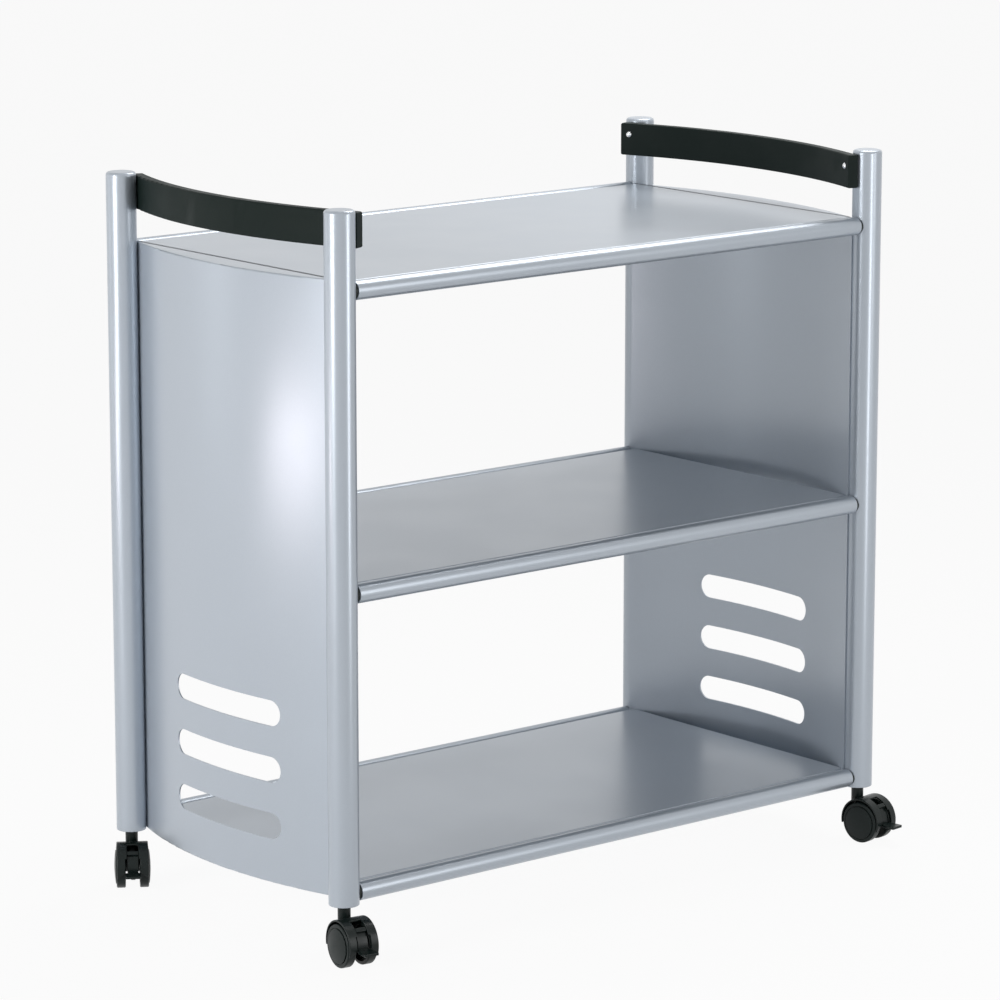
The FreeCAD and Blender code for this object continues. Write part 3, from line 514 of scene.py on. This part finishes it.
@dataclass
class Workshop:
    """The Geometry Nodes trees that turn a half section about its axis and set out copies of a piece."""

    turning: bpy.types.NodeTree | None = None
    copying: bpy.types.NodeTree | None = None

    def start(self, name: str, inputs: dict[str, str]) -> tuple[Board, bpy.types.Node, bpy.types.Node]:
        """Makes a tree with one geometry input and output and the named inputs.

        Args:
            name: The tree's name.
            inputs: The socket type of each further input by name.

        Returns:
            A board on the tree, its input node and its output node.
        """
        tree = bpy.data.node_groups.new(name, "GeometryNodeTree")
        tree.interface.new_socket("Geometry", in_out="INPUT", socket_type="NodeSocketGeometry")
        for label, kind in inputs.items():
            tree.interface.new_socket(label, in_out="INPUT", socket_type=kind)
        tree.interface.new_socket("Geometry", in_out="OUTPUT", socket_type="NodeSocketGeometry")
        board = Board(tree)
        return board, board.add("NodeGroupInput"), board.add("NodeGroupOutput")

    def close(
        self, board: Board, shape: bpy.types.NodeSocket, given: bpy.types.Node, result: bpy.types.Node
    ) -> None:
        """Ends a tree in Realize Instances and Set Material.

        Args:
            board: The tree's board.
            shape: The geometry so far.
            given: The tree's input node, with its Finish.
            result: The tree's output node.
        """
        real = board.add("GeometryNodeRealizeInstances")
        board.wire(shape, real.inputs["Geometry"])
        dressed = board.add("GeometryNodeSetMaterial")
        board.wire(real.outputs["Geometry"], dressed.inputs["Geometry"])
        board.wire(given.outputs["Finish"], dressed.inputs["Material"])
        board.wire(dressed.outputs["Geometry"], result.inputs["Geometry"])

    def make_turning(self) -> None:
        """Builds the tree that turns a section, from a grid that is bent round the axis and joined up."""
        board, given, result = self.start(
            "turned_section", {"Segments": "NodeSocketInt", "Finish": "NodeSocketMaterial"}
        )
        count = board.add("GeometryNodeAttributeDomainSize", component="MESH")
        board.wire(given.outputs["Geometry"], count.inputs["Geometry"])
        rows = board.maths("ADD", given.outputs["Segments"], 1.0)
        grid = board.add("GeometryNodeMeshGrid")
        board.wire(count.outputs["Point Count"], grid.inputs["Vertices X"])
        board.wire(rows, grid.inputs["Vertices Y"])
        index = board.add("GeometryNodeInputIndex").outputs[0]
        along = board.maths("FLOOR", board.maths("DIVIDE", index, rows), 0.0)
        sample = board.add("GeometryNodeSampleIndex", data_type="FLOAT_VECTOR", domain="POINT")
        board.wire(given.outputs["Geometry"], sample.inputs["Geometry"])
        board.wire(board.add("GeometryNodeInputPosition").outputs[0], sample.inputs["Value"])
        board.wire(along, sample.inputs["Index"])
        step = board.maths("DIVIDE", math.tau, given.outputs["Segments"])
        angle = board.maths("MULTIPLY", board.maths("MODULO", index, rows), step)
        turned = board.add("ShaderNodeVectorRotate", rotation_type="Z_AXIS")
        board.wire(sample.outputs["Value"], turned.inputs["Vector"])
        board.wire(angle, turned.inputs["Angle"])
        bent = board.add("GeometryNodeSetPosition")
        board.wire(grid.outputs["Mesh"], bent.inputs["Geometry"])
        board.wire(turned.outputs["Vector"], bent.inputs["Position"])
        joined = board.add("GeometryNodeMergeByDistance")
        joined.inputs["Distance"].default_value = MERGE_DISTANCE
        board.wire(bent.outputs["Geometry"], joined.inputs["Geometry"])
        smooth = board.add("GeometryNodeSetShadeSmooth")
        board.wire(joined.outputs["Geometry"], smooth.inputs["Geometry"])
        self.close(board, smooth.outputs["Geometry"], given, result)
        self.turning = board.tree

    def make_copying(self) -> None:
        """Builds the tree that sets a copy of a master piece on every point of the geometry."""
        board, given, result = self.start(
            "set_out_copies", {"Master": "NodeSocketObject", "Finish": "NodeSocketMaterial"}
        )
        master = board.add("GeometryNodeObjectInfo", transform_space="ORIGINAL")
        board.wire(given.outputs["Master"], master.inputs["Object"])
        turn = board.add("GeometryNodeInputNamedAttribute", data_type="FLOAT_VECTOR")
        turn.inputs["Name"].default_value = TURN_ATTRIBUTE
        rotation = board.add("FunctionNodeEulerToRotation")
        board.wire(turn.outputs["Attribute"], rotation.inputs["Euler"])
        copies = board.add("GeometryNodeInstanceOnPoints")
        board.wire(given.outputs["Geometry"], copies.inputs["Points"])
        board.wire(master.outputs["Geometry"], copies.inputs["Instance"])
        board.wire(rotation.outputs["Rotation"], copies.inputs["Rotation"])
        self.close(board, copies.outputs["Instances"], given, result)
        self.copying = board.tree

    def run(self, tree: bpy.types.NodeTree, piece: bpy.types.Object, **inputs: object) -> None:
        """Runs a tree on a piece and leaves the result as its plain mesh.

        Args:
            tree: The tree.
            piece: The object whose mesh goes in.
            inputs: The tree's inputs by name, spelt in lower case.
        """
        modifier = piece.modifiers.new(tree.name, "NODES")
        modifier.node_group = tree
        for item in tree.interface.items_tree:
            if item.in_out == "INPUT" and item.name.lower() in inputs:
                modifier[item.identifier] = inputs[item.name.lower()]
        graph = bpy.context.evaluated_depsgraph_get()
        mesh = bpy.data.meshes.new_from_object(piece.evaluated_get(graph))
        piece.modifiers.remove(modifier)
        piece.data = mesh

    def turn(self, name: str, section: HalfSection, segments: int) -> bpy.types.Object:
        """Turns a section about the Z axis.

        Args:
            name: The master piece's name.
            section: Its half section.
            segments: How many steps go round.

        Returns:
            The master piece.
        """
        points = section.points()
        piece = new_piece(name, points, [(at, at + 1) for at in range(len(points) - 1)], [])
        self.run(self.turning, piece, segments=segments)
        return piece

    def set_out(
        self, name: str, master: bpy.types.Object, spots: list[Spot], finish: bpy.types.Material
    ) -> bpy.types.Object:
        """Makes one piece of the copies of a master at its spots.

        Args:
            name: The piece's name.
            master: What is copied.
            spots: Where the copies go.
            finish: Their material.

        Returns:
            The piece.
        """
        piece = new_piece(name, [spot.place for spot in spots], [], [])
        turns = piece.data.attributes.new(TURN_ATTRIBUTE, "FLOAT_VECTOR", "POINT")
        for entry, spot in zip(turns.data, spots):
            entry.vector = spot.turn
        self.run(self.copying, piece, master=master, finish=finish)
        return piece


@dataclass
class Deburring:
    """Copies a cut or moulded piece and rounds its outer edges, as the real one's are.

    Faces within flat_angle of each other become one. Outer edges sharper than sharp_angle are rounded,
    but not a stub, which is a short one with a loose end. Edges are shaded smooth up to crease_angle, and
    those in hollows up to hollow_angle.
    """

    width: float
    segments: int = 2
    roundness: float = 0.5
    flat_angle: float = math.radians(0.05)
    sharp_angle: float = math.radians(42.0)
    crease_angle: float = math.radians(50.0)
    hollow_angle: float = math.radians(20.0)
    sliver: float = 0.01 * MM
    stub: float = 2.5 * MM

    def is_rounded(self, edge: bmesh.types.BMEdge, highest: float) -> bool:
        """Tells whether an edge is sharp, stands outwards and lies low enough."""
        low_enough = max(vert.co.z for vert in edge.verts) < highest
        return low_enough and edge.is_manifold and edge.calc_face_angle_signed(0.0) > self.sharp_angle

    def copy(
        self, node: bpy.types.Object, name: str, finish: bpy.types.Material, highest: float
    ) -> bpy.types.Object:
        """Makes the rounded copy of a node.

        Args:
            node: The node, which is left alone.
            name: The copy's name.
            finish: Its material.
            highest: Edges above this height in metres stay sharp.

        Returns:
            The copy.
        """
        work = bmesh.new()
        work.from_mesh(node.data)
        bmesh.ops.remove_doubles(work, verts=work.verts, dist=MERGE_DISTANCE)
        bmesh.ops.dissolve_limit(work, angle_limit=self.flat_angle, verts=work.verts, edges=work.edges)
        bmesh.ops.dissolve_degenerate(work, dist=self.sliver, edges=work.edges)
        edges = [edge for edge in work.edges if self.is_rounded(edge, highest)]
        meeting = Counter(vert for edge in edges for vert in edge.verts)
        edges = [
            edge for edge in edges
            if edge.calc_length() > self.stub or min(meeting[vert] for vert in edge.verts) > 1
        ]
        bmesh.ops.bevel(
            work, geom=edges, offset=self.width, offset_type="OFFSET", segments=self.segments,
            profile=self.roundness, affect="EDGES", clamp_overlap=False, loop_slide=False,
        )
        for face in work.faces:
            face.smooth = True
        for edge in work.edges:
            edge.smooth = -self.hollow_angle < edge.calc_face_angle_signed(0.0) < self.crease_angle
        piece = new_piece(name, [], [], [])
        work.to_mesh(piece.data)
        work.free()
        evener = piece.modifiers.new("even_normals", "WEIGHTED_NORMAL")
        evener.keep_sharp = True
        piece.data.materials.clear()
        piece.data.materials.append(finish)
        return piece


@dataclass
class Bow:
    """The bow of the end panels, in metres, whose own normals let reflections run evenly over the facets.

    Faces within face_angle of the bow and no further in than inner_radius get its normals, except at
    corners whose normal is off by more than corner_angle.
    """

    radius: float = 0.600
    inner_radius: float = 0.598
    tolerance: float = 0.0005
    face_angle: float = math.radians(3.0)
    corner_angle: float = math.radians(16.0)

    def radials(self, mesh: bpy.types.Mesh) -> list[Vector]:
        """Finds the line from the bow's axis to each vertex, level with it.

        Args:
            mesh: The panel's mesh.

        Returns:
            The lines in the order of the vertices.
        """
        reach = max((vert.co.x for vert in mesh.vertices), key=abs)
        axis = Vector((reach - math.copysign(self.radius, reach), 0.0, 0.0))
        return [(vert.co - axis) * Vector((1.0, 1.0, 0.0)) for vert in mesh.vertices]

    def even_out(self, piece: bpy.types.Object) -> None:
        """Gives the bowed faces of a panel the bow's own normals.

        Args:
            piece: The panel, whose modifiers are applied first.
        """
        graph = bpy.context.evaluated_depsgraph_get()
        mesh = bpy.data.meshes.new_from_object(piece.evaluated_get(graph))
        piece.modifiers.clear()
        piece.data = mesh
        radials = self.radials(mesh)
        bowed: dict[int, Vector] = {}
        for face in mesh.polygons:
            lines = [radials[index] for index in face.vertices]
            facing = sum(lines, Vector()).normalized().dot(face.normal)
            if abs(facing) < math.cos(self.face_angle):
                continue
            if min(line.length for line in lines) < self.inner_radius - self.tolerance:
                continue
            for index, line in zip(face.vertices, lines):
                bowed[index] = math.copysign(1.0, facing) * line.normalized()
        normals = [corner.vector.copy() for corner in mesh.corner_normals]
        for place, loop in enumerate(mesh.loops):
            normal = bowed.get(loop.vertex_index)
            if normal and normals[place].angle(normal, math.pi) < self.corner_angle:
                normals[place] = normal
        mesh.normals_split_custom_set(normals)


@dataclass
class CasterWheels:
    """The eight wheels, in millimetres: hollow mouldings with a rounded tread and a domed disc outside.

    The sides and floors are distances from the middle of the caster.
    """

    tread_radius: float = 24.99
    tread_round: float = 1.6
    tread_inner_round: float = 1.2
    inner_side: float = 8.5
    outer_side: float = 19.0
    rim_radius: float = 21.0
    rim_round: float = 0.3
    hub_radius: float = 7.0
    recess_floor: float = 14.5
    recess_round: float = 0.8
    bore_radius: float = 3.08
    bore_floor: float = 16.5
    bore_round: float = 0.2
    disc_radius: float = 20.0
    disc_edge: float = 19.9
    disc_rise: float = 1.5
    disc_round: float = 0.4
    groove_width: float = 0.9
    groove_depth: float = 0.9
    groove_round: float = 0.15
    segments: int = 96

    def section(self) -> HalfSection:
        """Lays out the half section from the disc's middle round to the blind bore."""
        groove, floor = self.disc_radius + self.groove_width, self.outer_side - self.groove_depth
        return HalfSection([
            *dome(self.disc_radius, self.disc_edge, self.disc_rise),
            Corner(self.disc_radius, self.disc_edge, self.disc_round),
            Corner(self.disc_radius, floor, self.groove_round),
            Corner(groove, floor, self.groove_round),
            Corner(groove, self.outer_side, self.rim_round),
            Corner(self.tread_radius, self.outer_side, self.tread_round),
            Corner(self.tread_radius, self.inner_side, self.tread_inner_round),
            Corner(self.rim_radius, self.inner_side, self.rim_round),
            Corner(self.rim_radius, self.recess_floor, self.recess_round),
            Corner(self.hub_radius, self.recess_floor, self.recess_round),
            Corner(self.hub_radius, self.inner_side, self.rim_round),
            Corner(self.bore_radius, self.inner_side, self.bore_round),
            Corner(self.bore_radius, self.bore_floor),
            Corner(0.0, self.bore_floor),
        ])

    def spot(self, joint: dict[str, object], node: str) -> Spot:
        """Finds how a wheel sits: its disc faces away from its twin.

        Args:
            joint: The joint that the wheel rolls on.
            node: The wheel's node.

        Returns:
            The wheel's place and turn.
        """
        low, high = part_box(node)
        middle, axis = Vector(joint["pos_m"]), Vector(joint["axis"])
        if ((low + high) / 2 - middle).dot(axis) < 0.0:
            axis = -axis
        return Spot(tuple(middle), (0.0, math.pi / 2, math.atan2(axis.y, axis.x)))

    def build(self, cart: Cart) -> None:
        """Turns one wheel and sets a copy at each axle's end.

        Args:
            cart: The cart that gets the wheels.
        """
        master = cart.workshop.turn("wheel_master", self.section(), self.segments)
        for joint in cart.frame["joints"]:
            if not joint["name"].startswith("roll_"):
                continue
            corner, letter = joint["child"].removeprefix("wheel_").rsplit("_", 1)
            node = f"caster_{corner}_wheel_{letter}"
            cart.set_out(f"{node}_turned", master, [self.spot(joint, node)], node)
        bpy.data.objects.remove(master)


@dataclass
class HandleScrews:
    """The domed screws, two through each handle into its posts, in millimetres.

    post_long and post_wide say how far a post stands from the cart's middle, bow_distance how far from the
    axis of the handle's bow, and seat how far the head sits from the post's axis.
    """

    post_long: float = 400.0
    post_wide: float = 204.6
    bow_distance: float = 598.6
    seat: float = 29.6
    head_radius: float = 3.7
    head_edge: float = 0.5
    head_edge_round: float = 0.15
    head_rise: float = 2.6
    seat_round: float = 0.1
    shank_radius: float = 2.5
    shank_length: float = 24.5
    tip_round: float = 0.4
    segments: int = 48

    def section(self) -> HalfSection:
        """Lays out the half section from the dome's top to the shank's tip."""
        return HalfSection([
            *dome(self.head_radius, self.head_edge, self.head_rise - self.head_edge),
            Corner(self.head_radius, self.head_edge, self.head_edge_round),
            Corner(self.head_radius, 0.0, self.seat_round),
            Corner(self.shank_radius, 0.0, self.seat_round),
            Corner(self.shank_radius, -self.shank_length, self.tip_round),
            Corner(0.0, -self.shank_length),
        ])

    def spots(self) -> list[Spot]:
        """Finds where the four heads sit, each facing the middle of its handle's bow.

        Returns:
            Their places and turns.
        """
        low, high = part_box("handle_screws")
        lean = math.asin(self.post_wide / self.bow_distance)
        found = []
        for side in (-1, 1):
            for row in (-1, 1):
                heading = (math.pi if side > 0 else 0.0) + side * row * lean
                along = side * self.post_long + self.seat * math.cos(heading)
                across = row * self.post_wide + self.seat * math.sin(heading)
                place = (along * MM, across * MM, (low.z + high.z) / 2)
                found.append(Spot(place, (0.0, math.pi / 2, heading)))
        return found

    def build(self, cart: Cart) -> None:
        """Turns one screw and sets out all four.

        Args:
            cart: The cart that gets the screws.
        """
        master = cart.workshop.turn("handle_screw_master", self.section(), self.segments)
        cart.set_out("handle_screws_turned", master, self.spots(), "handle_screws")
        bpy.data.objects.remove(master)


@dataclass
class GrubScrews:
    """The socket screws under the ends of the shelf tubes, in millimetres."""

    radius: float = 3.0
    length: float = 4.5
    chamfer: float = 0.4
    key_sides: int = 6
    key_across: float = 3.0
    key_depth: float = 2.2
    drill_cone: float = 0.5
    from_middle: float = 367.6
    segments: int = 36

    def angles(self) -> list[float]:
        """Lists the angles at which a ring's points stand."""
        return [math.tau * step / self.segments for step in range(self.segments)]

    def point(self, out: float, angle: float, height: float) -> Place:
        """Finds a point, in metres, from its distance from the axis, its angle and its height."""
        return (out * math.cos(angle) * MM, out * math.sin(angle) * MM, height * MM)

    def ring(self, radius: float, height: float) -> list[Place]:
        """Lists the points of a round ring."""
        return [self.point(radius, angle, height) for angle in self.angles()]

    def key_ring(self, height: float) -> list[Place]:
        """Lists the points of the key's ring of flat sides.

        Args:
            height: How high it lies.

        Returns:
            The points in metres.
        """
        side = math.tau / self.key_sides
        points = []
        for angle in self.angles():
            out = self.key_across / 2 / math.cos(angle % side - side / 2)
            points.append(self.point(out, angle, height))
        return points

    def pairs(self, level: int) -> list[tuple[int, int]]:
        """Lists each point of a ring with the next one round it."""
        start = level * self.segments
        return [(start + step, start + (step + 1) % self.segments) for step in range(self.segments)]

    def master(self) -> bpy.types.Object:
        """Builds one screw with its socket facing along Z.

        Returns:
            The master piece.
        """
        rings = [
            self.ring(self.radius, -self.length),
            self.ring(self.radius, -self.chamfer),
            self.ring(self.radius - self.chamfer, 0.0),
            self.key_ring(0.0),
            self.key_ring(-self.key_depth),
        ]
        points = [point for ring in rings for point in ring]
        floor, tip = len(points), len(points) + 1
        points.append((0.0, 0.0, -(self.key_depth + self.drill_cone) * MM))
        points.append((0.0, 0.0, -self.length * MM))
        last = len(rings) - 1
        faces: list[tuple[int, ...]] = []
        for level in range(last):
            for here, beside in self.pairs(level):
                faces.append((here, beside, beside + self.segments, here + self.segments))
        faces += [(here, beside, floor) for here, beside in self.pairs(last)]
        faces += [(beside, here, tip) for here, beside in self.pairs(0)]
        return new_piece("grub_screw_master", points, [], faces)

    def spots(self) -> list[Spot]:
        """Finds where the twelve screws sit, each with its socket facing down.

        Returns:
            Their places and turns.
        """
        low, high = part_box("grub_screws")
        found = []
        for shelf in ("bottom", "middle", "top"):
            for row in ("front", "back"):
                foot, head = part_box(f"shelf_tube_{shelf}_{row}")
                level = foot.z + low.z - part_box("shelf_tube_bottom_front")[0].z
                for side in (-1, 1):
                    place = (side * self.from_middle * MM, (foot.y + head.y) / 2, level)
                    found.append(Spot(place, (math.pi, 0.0, 0.0)))
        return found

    def build(self, cart: Cart) -> None:
        """Builds one screw and sets out all twelve.

        Args:
            cart: The cart that gets the screws.
        """
        master = self.master()
        cart.set_out("grub_screws_keyed", master, self.spots(), "grub_screws")
        bpy.data.objects.remove(master)


@dataclass
class RoundedPieces:
    """The cut, pressed and moulded pieces, with how wide their edges are rounded, in millimetres.

    Of a post only the foot is rounded, up to post_foot_height.
    """

    housing: float = 0.35
    pedal: float = 0.35
    handle: float = 0.5
    panel: float = 0.35
    shelf: float = 0.7
    post_foot: float = 0.6
    post_foot_height: float = 67.5

    def build(self, cart: Cart) -> None:
        """Puts a rounded copy in place of each node that it names.

        Args:
            cart: The cart that gets the copies.
        """
        for name, node in list(cart.frame["nodes"].items()):
            if name.endswith("_housing"):
                cart.round_off(node, self.housing)
            elif name.endswith("_brake_pedal"):
                cart.round_off(node, self.pedal)
            elif name in ("handle_left", "handle_right"):
                cart.round_off(node, self.handle)
            elif name.startswith("end_panel_"):
                Bow().even_out(cart.round_off(node, self.panel))
            elif name in ("shelf_top", "shelf_middle", "shelf_bottom"):
                cart.round_off(node, self.shelf)
            elif name.startswith("post_") and not name.startswith("post_cap_"):
                cart.round_off(node, self.post_foot, self.post_foot_height * MM)


@dataclass
class Cart:
    """The cart's own pieces, dressed slot by slot."""

    frame: dict[str, object]
    materials: dict[Slot, bpy.types.Material]
    workshop: Workshop
    slots: dict[str, Slot] = field(default_factory=dict)

    def dress_nodes(self) -> None:
        """Gives every node its finish."""
        self.slots = {row["node"]: Slot(row["material_slot"]) for row in self.frame["record"]["subparts"]}
        for name, node in self.frame["nodes"].items():
            slot = self.slots[name]
            node.data.materials.clear()
            node.data.materials.append(self.materials[slot])
            LOG.info("dressed %s in %s", name, slot.value)

    def fit(self, piece: bpy.types.Object, node: str) -> None:
        """Puts a finished piece in a node's place.

        Args:
            piece: The piece.
            node: The node's name.
        """
        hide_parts(node)
        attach(piece, self.frame["nodes"][node]["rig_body"])
        LOG.info("built %s for %s", piece.name, node)

    def set_out(self, name: str, master: bpy.types.Object, spots: list[Spot], node: str) -> None:
        """Puts copies of a master, as one piece, in a node's place.

        Args:
            name: The piece's name.
            master: What is copied.
            spots: Where the copies go.
            node: The node's name.
        """
        finish = self.materials[self.slots[node]]
        self.fit(self.workshop.set_out(name, master, spots, finish), node)

    def round_off(
        self, node: bpy.types.Object, width: float, highest: float = math.inf
    ) -> bpy.types.Object:
        """Puts a copy with rounded edges in a node's place.

        Args:
            node: The node.
            width: How wide the rounding is, in millimetres.
            highest: Edges above this height in metres stay sharp.

        Returns:
            The copy.
        """
        finish = self.materials[self.slots[node.name]]
        piece = Deburring(width * MM).copy(node, f"{node.name}_rounded", finish, highest)
        self.fit(piece, node.name)
        return piece


@dataclass(frozen=True)
class Lamp:
    """A soft rectangular lamp: where it hangs, what it faces, its width and height, and its watts."""

    name: str
    spot: Place
    aim: Place
    size: tuple[float, float]
    power: float
    colour: Colour = WHITE

    def hang(self) -> None:
        """Adds the lamp to the scene."""
        data = bpy.data.lights.new(self.name, "AREA")
        data.shape = "RECTANGLE"
        data.size, data.size_y = self.size
        data.energy = self.power
        data.color = self.colour
        lamp = bpy.data.objects.new(self.name, data)
        lamp.location = self.spot
        lamp.rotation_euler = (Vector(self.aim) - Vector(self.spot)).to_track_quat("-Z", "Y").to_euler()
        bpy.context.scene.collection.objects.link(lamp)


MIDDLE: Place = (0.0, 0.0, 0.45)
LAMPS: tuple[Lamp, ...] = (
    Lamp("front_strip", spot=(0.25, -1.7, 0.55), aim=MIDDLE, size=(0.3, 1.0), power=5.0),
    Lamp("front_right_lamp", spot=(1.3, -2.7, 1.0), aim=MIDDLE, size=(0.7, 1.6), power=8.5),
    Lamp("left_lamp", spot=(-3.0, -0.1, 1.0), aim=MIDDLE, size=(0.9, 1.4), power=42.0),
    Lamp("back_left_strip", spot=(-2.1, 2.2, 0.6), aim=MIDDLE, size=(0.3, 1.1), power=1.2),
    Lamp("overhead_lamp", spot=(0.85, 0.15, 2.1), aim=(0.3, 0.0, 0.77), size=(1.0, 1.0), power=18.0),
    Lamp(
        "panel_lamp", spot=(-1.29, 0.327, 0.387), aim=(-0.41, -0.12, 0.564), size=(0.34, 0.12),
        power=0.64, colour=(1.0, 0.88, 0.88),
    ),
)


@dataclass
class Studio:
    """The floor, the white surroundings, the lamps and the camera, with sensor and lens in millimetres."""

    eye: Place = (-3.4818, -4.1627, 1.5607)
    yaw: float = math.radians(39.9)
    pitch: float = math.radians(11.63)
    sensor: float = 36.0
    lens: float = 167.45
    farthest: float = 100.0
    floor_half: float = 14.0
    floor_colour: Colour = (0.86, 0.86, 0.86)
    floor_glow: float = 0.94
    room_level: float = 0.08

    def make_camera(self) -> None:
        """Places the camera where the reference was taken from."""
        data = bpy.data.cameras.new("view")
        data.sensor_width = self.sensor
        data.lens = self.lens
        data.clip_end = self.farthest
        camera = bpy.data.objects.new("view", data)
        camera.location = self.eye
        camera.rotation_euler = (math.pi / 2 - self.pitch, 0.0, -self.yaw)
        bpy.context.scene.collection.objects.link(camera)
        bpy.context.scene.camera = camera

    def background_rays(self, board: Board) -> bpy.types.NodeSocket:
        """Finds the rays that show the background: the camera's and those that metal and glass pass on.

        Args:
            board: A material's or the room's board.

        Returns:
            A socket that is 1 for those rays.
        """
        path = board.add("ShaderNodeLightPath")
        passed_on = board.maths(
            "MAXIMUM", path.outputs["Is Glossy Ray"], path.outputs["Is Transmission Ray"]
        )
        return board.maths("MAXIMUM", path.outputs["Is Camera Ray"], passed_on)

    def floor_material(self) -> bpy.types.Material:
        """Makes the floor's material: matt, with a glow for background rays alone, and clear from below.

        Returns:
            The finished material.
        """
        material = bpy.data.materials.new("pale_floor")
        material.use_nodes = True
        board = Board(material.node_tree)
        board.tree.nodes.clear()
        matt, glow = board.add("ShaderNodeBsdfDiffuse"), board.add("ShaderNodeEmission")
        matt.inputs["Color"].default_value = (*self.floor_colour, 1.0)
        glow.inputs["Color"].default_value = (*WHITE, 1.0)
        clear, sides = board.add("ShaderNodeBsdfTransparent"), board.add("ShaderNodeNewGeometry")
        seen = board.maths("MULTIPLY", self.background_rays(board), self.floor_glow)
        above = board.mix(seen, matt.outputs[0], glow.outputs[0])
        surface = board.mix(sides.outputs["Backfacing"], above, clear.outputs[0])
        result = board.add("ShaderNodeOutputMaterial")
        board.wire(surface, result.inputs["Surface"])
        return material

    def make_floor(self) -> None:
        """Lays a pale floor that keeps the cart's shadow and is seen through from below."""
        half = self.floor_half
        points = [(-half, -half, 0.0), (half, -half, 0.0), (half, half, 0.0), (-half, half, 0.0)]
        floor = new_piece("floor", points, [], [(0, 1, 2, 3)])
        floor.data.materials.append(self.floor_material())

    def make_room(self) -> None:
        """Surrounds the cart with an even light that the camera sees as white."""
        world = bpy.data.worlds.new("room")
        world.use_nodes = True
        board = Board(world.node_tree)
        board.tree.nodes.clear()
        level = board.span(self.background_rays(board), 0.0, 1.0, self.room_level, 1.0)
        background = board.add("ShaderNodeBackground")
        background.inputs["Color"].default_value = (*WHITE, 1.0)
        board.wire(level, background.inputs["Strength"])
        result = board.add("ShaderNodeOutputWorld")
        board.wire(background.outputs[0], result.inputs["Surface"])
        bpy.context.scene.world = world

    def make_all(self) -> None:
        """Sets up the whole studio."""
        self.make_camera()
        self.make_floor()
        self.make_room()
        for lamp in LAMPS:
            lamp.hang()
        bpy.context.scene.view_settings.view_transform = "Standard"


def corners(box: tuple[Vector, Vector]) -> list[list[float]]:
    """Turns a box's two corners into plain lists."""
    return [list(corner) for corner in box]


def main() -> None:
    """Loads the frame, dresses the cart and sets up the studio."""
    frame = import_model()
    effects = Effects()
    effects.make_all()
    materials = {slot: finish.make(effects) for slot, finish in FINISHES.items()}
    workshop = Workshop()
    workshop.make_turning()
    workshop.make_copying()
    cart = Cart(frame, materials, workshop)
    cart.dress_nodes()
    for maker in (CasterWheels(), HandleScrews(), GrubScrews(), RoundedPieces()):
        maker.build(cart)
    Studio().make_all()


if __name__ == "__main__":
    logging.basicConfig(level=logging.INFO, format="%(message)s")
    main()
